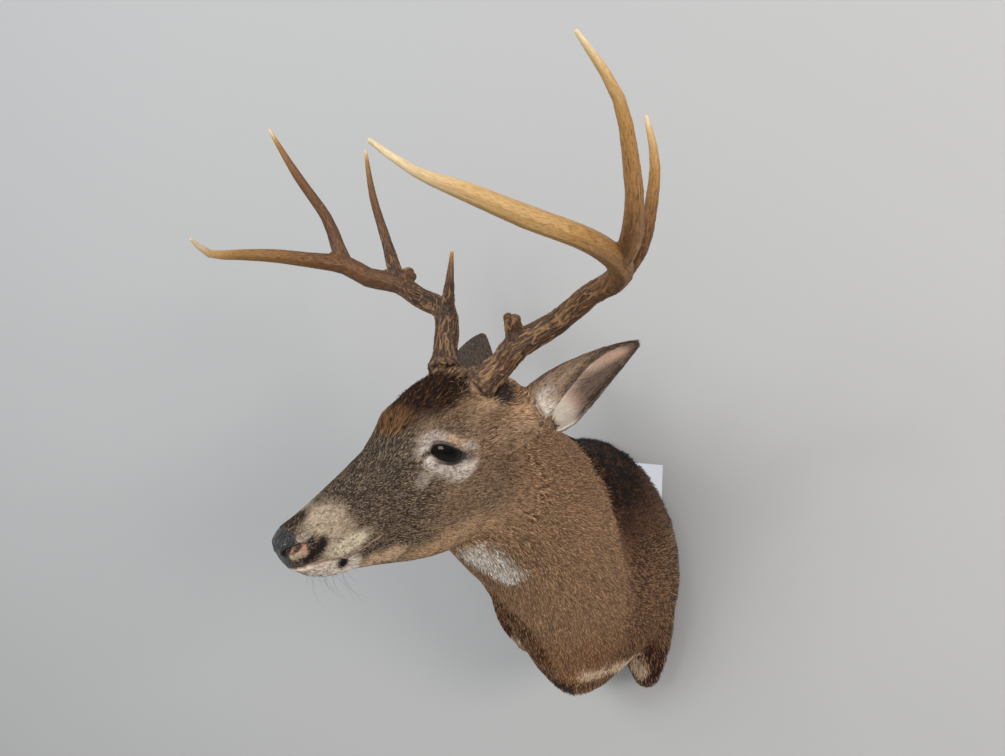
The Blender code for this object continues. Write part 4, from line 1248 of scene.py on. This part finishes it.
def skinMaterial():     # dried hide with short hair, and painted leather on the nose
    material, tree, shader = newMaterial("hide_and_nose_leather")
    colour = addNode(tree, "ShaderNodeAttribute", {"attribute_name": "coat"})
    leather = addNode(tree, "ShaderNodeAttribute", {"attribute_name": "leather"})
    place = addNode(tree, "ShaderNodeTexCoord").outputs["Object"]
    pebble = addNode(tree, "ShaderNodeTexVoronoi", {"feature": "DISTANCE_TO_EDGE"},
                     {"Vector": place, "Scale": 520})       # pebbles about 1.9 mm across
    raised = addNode(tree, "ShaderNodeMapRange", None,
                     {"Value": pebble.outputs["Distance"], "From Max": 0.28})
    fibre = addNode(tree, "ShaderNodeTexNoise", None,
                    {"Vector": place, "Scale": 900, "Detail": 3})   # hair ends about 1 mm apart
    relief = addNode(tree, "ShaderNodeMix", {"data_type": "FLOAT"},
                     {"Factor": leather.outputs["Fac"], "A": fibre.outputs["Fac"],
                      "B": raised.outputs["Result"]})
    bump = addNode(tree, "ShaderNodeBump", None,
                   {"Height": relief.outputs["Result"], "Distance": 0.0006, "Strength": 1.0})
    # painted shade: the nose leather is darkened in the crevices between its pebbles
    creviceShade = addNode(tree, "ShaderNodeMix", {"data_type": "FLOAT"},
                   {"Factor": leather.outputs["Fac"], "A": 1.0, "B": raised.outputs["Result"]})
    dark = addNode(tree, "ShaderNodeMapRange", None,
                   {"Value": creviceShade.outputs["Result"], "To Min": 0.30, "To Max": 1.0})
    shaded = addNode(tree, "ShaderNodeMix", {"data_type": "RGBA", "blend_type": "MULTIPLY"},
                     {"Factor": 1.0})
    tree.links.new(colour.outputs["Color"], shaded.inputs["A"])
    tree.links.new(dark.outputs["Result"], shaded.inputs["B"])
    tree.links.new(shaded.outputs["Result"], shader.inputs["Base Color"])
    gloss = addNode(tree, "ShaderNodeMapRange", None,
                    {"Value": leather.outputs["Fac"], "To Min": 0.78, "To Max": 0.26})
    tree.links.new(gloss.outputs["Result"], shader.inputs["Roughness"])
    tree.links.new(bump.outputs["Normal"], shader.inputs["Normal"])
    return material


def finishSkin():
    # painted shade: the skin is darkened by up to 0.42 under longer hair, which shades it; bare skin keeps
    # its colour
    shade = 1 - 0.42 * soft(hairLength(skinPoints, skinHead, skinEar), 5, 16)
    shade = np.maximum(shade, skinBare)
    setColours(skinMesh, "coat", skinColour * shade[:, None])
    gap, _, _ = eyeGap(skinHead)
    wet = np.maximum(noseShare(skinHead), soft(gap, 1.6, 0.4) * 0.5)
    setValues(skinMesh, "leather", wet)
    skinMesh.materials.clear()
    skinMesh.materials.append(skinMaterial())
    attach(skinItem, "root")
    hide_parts(*fleshNodes)


finishSkin()
makeCoat()


# antlers: lines repeated from the source, in the head's frame, millimetres

antlerLook = {
    "voxel": 0.0011,
    "triangles": 90000,             # in each antler
    "crest": 0.9,                   # heights of the relief near the burr, mm
    "groove": 0.5,
    "pearl": 1.5,
    "web": 5.58,                    # radius of the ball that fills each fork
    "webReach": 13,                 # from the fork to that ball
    "knots": {                      # small lumps: place and radius
        "left": (((-112, 72, 115), 5.0), ((-117, 77, 110), 6.0)),
        "right": (((-161, -210, 139), 11.0), ((-168, -206, 142), 9.0), ((-171, -204, 136), 7.0)),
    },
    "stain": {"left": 0.92, "right": 0.62},       # how pale the antler grows toward its tips
    "body": ((0.0, "#2f1b10"), (0.2, "#3a2315"), (0.4, "#664325"), (0.6, "#9c743f"),
             (0.8, "#bd9a66"), (0.97, "#d8c29a")),          # from the burr to the tips
    "pale": ((0.0, "#8c6b4a"), (0.2, "#8e6b45"), (0.4, "#96714a"), (0.6, "#b98d55"),
             (0.8, "#d5b581"), (0.97, "#e6d8ba")),          # on the crests
    "dark": ((0.0, "#180d08"), (0.2, "#20120a"), (0.4, "#3a2312"), (0.6, "#6d4b26"),
             (0.8, "#a07d50"), (0.97, "#c9b188")),          # in the grooves: the bone's stain with painted shade
}
beams = {
    "left": ((-69, 40, 47), (-97, 58, 63), (-113, 73, 80), (-143, 112, 98), (-156, 162, 128),
             (-157, 190, 139), (-150, 213, 153), (-135, 227, 169), (-106, 241, 191),
             (-60, 263, 217), (-18, 257, 246), (25, 251, 278), (59, 245, 303), (80, 235, 331)),
    "right": ((-77, -37, 49), (-102, -56, 73), (-126, -74, 96), (-142, -108, 106),
              (-148, -160, 114), (-153, -215, 132), (-126, -245, 151), (-105, -258, 177),
              (-56, -262, 202), (-12, -258, 223), (30, -253, 239), (67, -246, 253),
              (86, -229, 278)),
}
tines = {
    "left": (((-113, 73, 80), (-115, 72, 99), (-114, 75, 113)),
             ((-157, 190, 139), (-172, 210, 157), (-173, 232, 183), (-183, 249, 240),
              (-185, 248, 285)),
             ((-135, 227, 169), (-131, 249, 187), (-115, 277, 223), (-114, 283, 251),
              (-105, 292, 308), (-81, 286, 362))),
    "right": (((-126, -74, 96), (-136, -69, 127), (-149, -67, 156), (-158, -65, 178)),
              ((-153, -215, 132), (-167, -235, 191), (-177, -249, 254), (-190, -251, 316)),
              ((-105, -258, 177), (-109, -269, 206), (-110, -274, 245), (-96, -287, 309),
               (-82, -290, 375))),
}
antlerParts = ("base", "lower_beam", "upper_beam", "beam_tip", "brow_tine", "g2_tine", "g3_tine")


def alongLine(head, line, reference):     # gap, distance from the start, place in the section
    line = np.asarray(line, float)
    gap, along = nearLine(head, line)
    steps = np.diff(line, axis=0)
    starts = np.concatenate(((0,), np.cumsum(np.linalg.norm(steps, axis=1))))
    whole = np.minimum(along.astype(int), len(steps) - 1)
    share = along - whole
    distance = starts[whole] + share * (starts[whole + 1] - starts[whole])
    corner = unit(np.vstack((steps[:1], steps[:-1] + steps[1:], steps[-1:])))
    way = unit(corner[whole] + (corner[whole + 1] - corner[whole]) * share[:, None])
    axis = line[whole] + steps[whole] * share[:, None]
    across = np.asarray(reference, float) - way * (way @ np.asarray(reference, float))[:, None]
    across = unit(across)
    other = np.cross(way, across)
    away = head - axis
    section = np.column_stack((np.sum(away * across, axis=1), np.sum(away * other, axis=1)))
    return gap, distance, starts[-1], section


def pearls(points, size):           # rounded bumps on a jittered lattice, 0 to 1
    spot = points / size
    cell = np.floor(spot)
    nearest = np.full(len(points), 9.0)
    for step in np.ndindex(3, 3, 3):
        here = cell + step - 1
        centre = here + np.column_stack([cellRandom(here, seed) for seed in (21, 22, 23)])
        nearest = np.minimum(nearest, np.linalg.norm(spot - centre, axis=1))
    return soft(nearest, 0.75, 0.1)


def webs(side):                     # a small ball in each fork, so that the bone flows across
    line = np.array(beams[side], float)
    balls = []
    for tine in tines[side][1:]:
        fork = np.array(tine[0], float)
        at = int(np.argmin(np.linalg.norm(line - fork, axis=1)))
        onward, up = unit(line[at + 1] - fork), unit(np.array(tine[1], float) - fork)
        balls.append((fork + (onward + up) * antlerLook["webReach"], antlerLook["web"]))
    return balls


def antlerPlace(head, side, edges):       # tone from base to tips, grain coordinates, way from burr
    gap, distance, whole, section = alongLine(head, beams[side], (0, 0, 1))
    tone = distance / whole
    best, grain = gap, np.column_stack((13 * unit(section), distance / 5))
    for line in tines[side]:
        gap, along, reach, part = alongLine(head, line, (1, 0, 0))
        start = nearLine(np.array((line[0],), float), beams[side])[1][0] / 12
        closer = (gap < best - 2.0) & (along > 9)
        share = np.clip(along / reach, 0, 1)
        tip = 0.30 if reach < 60 and side == "left" else 1.0
        tone = np.where(closer, 0.78 * start + (tip - 0.78 * start) * share ** 2.2, tone)
        grain = np.where(closer[:, None], np.column_stack((10 * unit(part), along / 5 + 90)), grain)
        best = np.where(closer, gap, best)
    return spread(tone[:, None], edges, 12)[:, 0], grain, distance


def antlerRelief(head, tone, grain, distance):     # wavy crests and the grooves beside them
    lumps = np.abs(mottle(grain, 3.9, 31) + 0.35 * mottle(grain, 1.8, 32))
    rough = soft(tone, 0.52, 0.30)
    crest = np.exp(-(lumps / 0.10) ** 2) * rough
    groove = np.exp(-((lumps - 0.42) / 0.13) ** 2) * rough
    burr = soft(distance, 17, 9)
    bumps = pearls(head, 5.2) * burr + 0.45 * pearls(head, 3.4) * soft(tone, 0.30, 0.06) * (1 - burr)
    return crest * (1 - burr), groove * (1 - 0.5 * burr), bumps


def makeAntler(side):
    nodes = [f"antler_{side}_{part}" for part in antlerParts]
    balls = [(fromHead(middle), radius * mm)
             for middle, radius in tuple(webs(side)) + antlerLook["knots"][side]]
    item = shellOf(f"antler_{side}", nodes, 0.00002, balls)
    mesh = remeshed(item, antlerLook["voxel"])
    bm = bmesh.new()
    bm.from_mesh(mesh)
    bmesh.ops.triangulate(bm, faces=bm.faces)
    bm.to_mesh(mesh)
    bm.free()
    edges, faces = edgesOf(mesh), facesOf(mesh)
    points = spread(pointsOf(mesh), edges, 16, (0.5, -0.52))
    head = toHead(points)
    tone, grain, distance = antlerPlace(head, side, edges)
    crest, groove, bumps = antlerRelief(head, tone, grain, distance)
    height = (antlerLook["crest"] * crest - antlerLook["groove"] * groove
              + antlerLook["pearl"] * bumps - 0.15)
    points = points + normalsOf(points, faces) * (height * mm)[:, None]
    mesh.vertices.foreach_set("co", points.astype(np.float32).ravel())
    mesh.update()
    mesh = thinned(item, antlerLook["triangles"])
    mesh.polygons.foreach_set("use_smooth", np.ones(len(mesh.polygons), bool))
    head = toHead(pointsOf(mesh))
    tone, grain, distance = antlerPlace(head, side, edgesOf(mesh))
    crest, groove, bumps = antlerRelief(head, tone, grain, distance)
    pale = antlerLook["stain"][side]
    setValues(mesh, "tone", tone * pale + (1 - pale) * soft(tone, 0.86, 1.0))
    setValues(mesh, "crest", np.clip(crest + 0.7 * bumps, 0, 1))
    setValues(mesh, "groove", groove)
    layer = mesh.attributes.new("grain", "FLOAT_VECTOR", "POINT")
    layer.data.foreach_set("vector", grain.astype(np.float32).ravel())
    mesh.materials.clear()
    mesh.materials.append(antlerMaterial)
    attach(item, "root")
    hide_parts(*nodes)
    print("antler", side, len(mesh.polygons))


def makeAntlerMaterial():           # bone, stained brown at the base and rubbed pale at the tips
    material, tree, shader = newMaterial("antler_bone")
    made = {name: addNode(tree, "ShaderNodeAttribute", {"attribute_name": name}).outputs["Fac"]
            for name in ("tone", "crest", "groove")}
    grain = addNode(tree, "ShaderNodeAttribute", {"attribute_name": "grain"}).outputs["Vector"]
    for name, size, detail in (("cloud", 0.06, 3), ("fine", 0.50, 5), ("line", 0.85, 3)):
        made[name] = addNode(tree, "ShaderNodeTexNoise", None,
                             {"Vector": grain, "Scale": size, "Detail": detail}).outputs["Fac"]
    for name, source, low, high, start, end in (
            ("crestWear", "fine", 0.3, 0.6, 0.6, 1.0),
            ("fineLight", "fine", 0.50, 0.72, 0.0, 1.0),
            ("lightShare", "tone", 0.1, 0.6, 0.25, 0.8),
            ("grooveWear", "fine", 0.35, 0.6, 1.0, 0.5),
            ("lineDark", "line", 0.46, 0.34, 0.0, 0.9),
            ("darkShare", "tone", 0.5, 1.0, 1.0, 0.35),
            ("gloss", "tone", 0.0, 1.0, 0.62, 0.40)):
        made[name] = addNode(tree, "ShaderNodeMapRange", None,
                             {"Value": made[source], "From Min": low, "From Max": high,
                              "To Min": start, "To Max": end}).outputs["Result"]
    for name, kind, *sources in (
            ("drift", "MULTIPLY_ADD", "cloud", 0.24, -0.12),
            ("stain", "ADD", "tone", "drift"),
            ("crestLight", "MULTIPLY", "crest", "crestWear"),
            ("grainLight", "MULTIPLY", "fineLight", "lightShare"),
            ("up", "MAXIMUM", "crestLight", "grainLight"),
            # painted shade over the bone's stain: the grooves beside the crests are darkened
            ("grooveDark", "MULTIPLY", "groove", "grooveWear"),
            ("grainDark", "MULTIPLY", "lineDark", "darkShare"),
            ("down", "MAXIMUM", "grooveDark", "grainDark"),
            ("high", "MULTIPLY", "up", 0.8),
            ("deep", "MULTIPLY", "down", 0.8),
            ("relief", "SUBTRACT", "high", "deep")):
        inputs = {i: made.get(source, source) for i, source in enumerate(sources)}
        made[name] = addNode(tree, "ShaderNodeMath", {"operation": kind}, inputs).outputs[0]
    body, pale, dark = (addNode(tree, "ShaderNodeValToRGB", {"stops": antlerLook[name]},
                                {"Fac": made["stain"]}).outputs["Color"]
                        for name in ("body", "pale", "dark"))
    under = addNode(tree, "ShaderNodeMix", {"data_type": "RGBA"},
                    {"Factor": made["down"], "A": body, "B": dark})
    whole = addNode(tree, "ShaderNodeMix", {"data_type": "RGBA"},
                    {"Factor": made["up"], "A": under.outputs["Result"], "B": pale})
    bump = addNode(tree, "ShaderNodeBump", None,
                   {"Height": made["relief"], "Distance": 0.0006, "Strength": 0.8})
    tree.links.new(whole.outputs["Result"], shader.inputs["Base Color"])
    tree.links.new(bump.outputs["Normal"], shader.inputs["Normal"])
    tree.links.new(made["gloss"], shader.inputs["Roughness"])
    shader.inputs["Specular IOR Level"].default_value = 0.35
    return material


antlerMaterial = makeAntlerMaterial()
for antlerSide in ("left", "right"):
    makeAntler(antlerSide)


# glass eyes

glassLook = {
    "iris": "#0f0906",
    "pupil": "#040303",
    "rings": 48,
    "segments": 64,
}


def eyeMaterial():                  # glass taxidermy eye: near-black brown behind clear glass
    material, tree, shader = newMaterial("glass_eye")
    slit = addNode(tree, "ShaderNodeAttribute", {"attribute_name": "pupil"})
    colour = addNode(tree, "ShaderNodeMix", {"data_type": "RGBA"},
                     {"Factor": slit.outputs["Fac"], "A": rgba(glassLook["iris"]),
                      "B": rgba(glassLook["pupil"])})
    tree.links.new(colour.outputs["Result"], shader.inputs["Base Color"])
    shader.inputs["Roughness"].default_value = 0.05
    shader.inputs["IOR"].default_value = 1.52
    shader.inputs["Specular IOR Level"].default_value = 0.12
    return material


def makeEyes():
    material = eyeMaterial()
    stretch = eyeLook["stretch"]
    for side, name in ((1, "eye_left"), (-1, "eye_right")):
        bm = bmesh.new()
        bmesh.ops.create_uvsphere(bm, u_segments=glassLook["segments"],
                                  v_segments=glassLook["rings"], radius=eyeRadius)
        bmesh.ops.triangulate(bm, faces=bm.faces)
        mesh = bpy.data.meshes.new("glass_" + name)
        bm.to_mesh(mesh)
        bm.free()
        ball = pointsOf(mesh)
        along = ball[:, 0] * stretch
        head = fromSlit(along, ball[:, 1], ball[:, 2]) + eyeMiddle(side)
        mesh.vertices.foreach_set("co", fromHead(head).astype(np.float32).ravel())
        mesh.update()
        mesh.polygons.foreach_set("use_smooth", np.ones(len(mesh.polygons), bool))
        setValues(mesh, "pupil", soft(np.hypot(along / 9.5, ball[:, 2] / 5.0), 1.15, 0.9))
        item = newPiece("glass_" + name, mesh, material)
        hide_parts(name)


makeEyes()


# single hairs: whiskers, lashes and the long hair of the ears

strandLook = {
    "seed": 7,
    "points": 6,                    # along each hair
    "whiskers": 26,                 # on each side of the muzzle
    "chin": 12,
    "lashes": 15,
    "ear": 130,
    "whiskerLength": (14, 38),      # shortest and longest
    "lashLength": (4.5, 7.5),
    "earLength": (9, 19),
    "whiskerRadius": 0.11,
    "lashRadius": 0.14,
    "earRadius": 0.17,
    "whisker": "#1d1713",
    "earHair": "#d9cfc3",
}


def strandTree():                   # hair lines to tapered three-sided solids
    tree = bpy.data.node_groups.new("hair_strands", "GeometryNodeTree")
    tree.interface.new_socket("Lines", in_out="INPUT", socket_type="NodeSocketGeometry")
    radius = tree.interface.new_socket("Radius", in_out="INPUT", socket_type="NodeSocketFloat")
    surface = tree.interface.new_socket("Surface", in_out="INPUT", socket_type="NodeSocketMaterial")
    tree.interface.new_socket("Hair", in_out="OUTPUT", socket_type="NodeSocketGeometry")
    given = addNode(tree, "NodeGroupInput")
    curve = addNode(tree, "GeometryNodeMeshToCurve", None, {"Mesh": given.outputs["Lines"]})
    along = addNode(tree, "GeometryNodeSplineParameter")
    taper = addNode(tree, "ShaderNodeMapRange", None,
                    {"Value": along.outputs["Factor"], "To Min": 1.0, "To Max": 0.25})
    thick = addNode(tree, "ShaderNodeMath", {"operation": "MULTIPLY"})
    tree.links.new(taper.outputs["Result"], thick.inputs[0])
    tree.links.new(given.outputs["Radius"], thick.inputs[1])
    ring = addNode(tree, "GeometryNodeCurvePrimitiveCircle", None, {"Resolution": 3, "Radius": 1.0})
    solid = addNode(tree, "GeometryNodeCurveToMesh", None,
                    {"Curve": curve.outputs["Curve"], "Profile Curve": ring.outputs["Curve"],
                     "Scale": thick.outputs[0], "Fill Caps": True})
    real = addNode(tree, "GeometryNodeRealizeInstances", None, {"Geometry": solid.outputs["Mesh"]})
    coated = addNode(tree, "GeometryNodeSetMaterial", None,
                     {"Geometry": real.outputs["Geometry"], "Material": given.outputs["Surface"]})
    result = addNode(tree, "NodeGroupOutput")
    tree.links.new(coated.outputs["Geometry"], result.inputs["Hair"])
    return tree, radius.identifier, surface.identifier


def strandMaterial(name, colour):   # smooth single hairs with a thin line of gloss
    material, _, shader = newMaterial(name)
    shader.inputs["Base Color"].default_value = rgba(colour)
    shader.inputs["Roughness"].default_value = 0.5
    shader.inputs["Specular IOR Level"].default_value = 0.3
    return material


def growStrands(name, starts, ways, falls, lengths, radius, material):
    steps = np.linspace(0, 1, strandLook["points"])[None, :, None]
    reach = lengths[:, None, None] * mm
    lines = starts[:, None] + ways[:, None] * reach * steps + falls[:, None] * reach * steps ** 2
    count, each = lines.shape[:2]
    first = np.arange(count)[:, None] * each + np.arange(each - 1)[None]
    mesh = bpy.data.meshes.new(name)
    mesh.from_pydata(lines.reshape(-1, 3).tolist(),
                     np.stack((first, first + 1), axis=2).reshape(-1, 2).tolist(), [])
    item = bpy.data.objects.new(name, mesh)
    bpy.context.scene.collection.objects.link(item)
    step = item.modifiers.new("strands", "NODES")
    tree, radiusInput, surfaceInput = strandNodes
    step.node_group = tree
    step[radiusInput] = radius * mm
    step[surfaceInput] = material
    applied(item)
    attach(item, "root")


def growWhiskers(rng, side, sideName, material):
    count, low = strandLook["whiskers"], strandLook["chin"]
    spots = np.column_stack((rng.uniform(132, 178, count), 26 * np.ones(count),
                             rng.uniform(-44, -6, count)))
    spots = np.vstack((spots, np.column_stack((rng.uniform(138, 180, low), 12 * np.ones(low),
                                               -72 * np.ones(low)))))
    starts, normals = drape(fromHead(spots * (1, side, 1)))
    ways = unit(normals + (-0.15 * forward + 0.25 * rng.standard_normal((len(spots), 3))))
    falls = -0.45 * forward - 0.25 * upward + 0.12 * rng.standard_normal((len(spots), 3))
    lengths = rng.uniform(*strandLook["whiskerLength"], len(spots))
    growStrands(f"whiskers_{sideName}", starts - normals * 0.001, ways, falls, lengths,
                strandLook["whiskerRadius"], material)


def growLashes(rng, side, sideName, material):
    count = strandLook["lashes"]
    share = np.linspace(-0.55, 0.85, count)
    spots = fromSlit(eyeLook["halfLength"] * share, np.full(count, 17.0),
                     lidEdge(share, True) + 1.2) + eyeMiddle(1)
    starts, normals = drape(fromHead(spots * (1, side, 1)))
    ways = unit(leftward * side + 0.2 * forward + 0.15 * rng.standard_normal((count, 3)))
    lengths = rng.uniform(*strandLook["lashLength"], count)
    growStrands(f"lashes_{sideName}", starts - normals * 0.0008, ways,
                np.tile(-0.5 * upward, (count, 1)), lengths, strandLook["lashRadius"], material)


def growEarHair(rng, side, sideName, material):
    share, turn, _, _, _ = earPlace(skinHead, side)
    inner = ((skinInside > 0.6) & (skinHead[:, 1] * side > 0) & (share > 0.12) & (share < 0.62)
             & (np.abs(turn) > 0.5))
    chosen = rng.choice(np.nonzero(inner)[0], strandLook["ear"])
    _, axis, _ = earFrame(side)
    ways = unit(axis @ headAxes + 0.35 * skinNormals[chosen]
                + 0.22 * rng.standard_normal((len(chosen), 3)))
    falls = 0.1 * rng.standard_normal((len(chosen), 3))
    lengths = rng.uniform(*strandLook["earLength"], len(chosen))
    growStrands(f"ear_hair_{sideName}", skinPoints[chosen] - skinNormals[chosen] * 0.0006, ways,
                falls, lengths, strandLook["earRadius"], material)


def growHair():
    rng = np.random.default_rng(strandLook["seed"])
    dark = strandMaterial("whisker", strandLook["whisker"])
    pale = strandMaterial("long_ear_hair", strandLook["earHair"])
    for side, sideName in ((1, "left"), (-1, "right")):
        growWhiskers(rng, side, sideName, dark)
        growLashes(rng, side, sideName, dark)
        growEarHair(rng, side, sideName, pale)


strandNodes = strandTree()
growHair()
print("single hairs grown")


# back board and hanger plate keep their solids

def boardMaterial():                # fir plywood, sanded, seen only from behind
    material, tree, shader = newMaterial("fir_plywood")
    place = addNode(tree, "ShaderNodeTexCoord").outputs["Object"]
    stretch = addNode(tree, "ShaderNodeMapping", None,
                      {"Vector": place, "Scale": (60, 120, 3)})       # grain runs upright
    grain = addNode(tree, "ShaderNodeTexNoise", None,
                    {"Vector": stretch.outputs["Vector"], "Scale": 1.0, "Detail": 6,
                     "Distortion": 0.6})
    colour = addNode(tree, "ShaderNodeValToRGB",
                     {"stops": ((0.3, "#a9814f"), (0.5, "#c69e69"), (0.7, "#d9b98a"))},
                     {"Fac": grain.outputs["Fac"]})
    tree.links.new(colour.outputs["Color"], shader.inputs["Base Color"])
    bump = addNode(tree, "ShaderNodeBump", None,
                   {"Height": grain.outputs["Fac"], "Distance": 0.0004, "Strength": 0.5})
    tree.links.new(bump.outputs["Normal"], shader.inputs["Normal"])
    shader.inputs["Roughness"].default_value = 0.7
    return material


def plateMaterial():                # bright zinc plate with its faint crystal bloom
    material, tree, shader = newMaterial("zinc_plated_steel")
    place = addNode(tree, "ShaderNodeTexCoord").outputs["Object"]
    bloom = addNode(tree, "ShaderNodeTexVoronoi", None, {"Vector": place, "Scale": 260})
    colour = addNode(tree, "ShaderNodeValToRGB", {"stops": ((0.0, "#9fa4a8"), (1.0, "#c3c8cc"))},
                     {"Fac": bloom.outputs["Distance"]})
    tree.links.new(colour.outputs["Color"], shader.inputs["Base Color"])
    shader.inputs["Metallic"].default_value = 1.0
    rough = addNode(tree, "ShaderNodeMapRange", None,
                    {"Value": bloom.outputs["Distance"], "To Min": 0.28, "To Max": 0.42})
    tree.links.new(rough.outputs["Result"], shader.inputs["Roughness"])
    return material


for node, material in (("back_board", boardMaterial()), ("hanger_plate", plateMaterial())):
    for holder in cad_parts[node].material_slots:
        holder.material = material
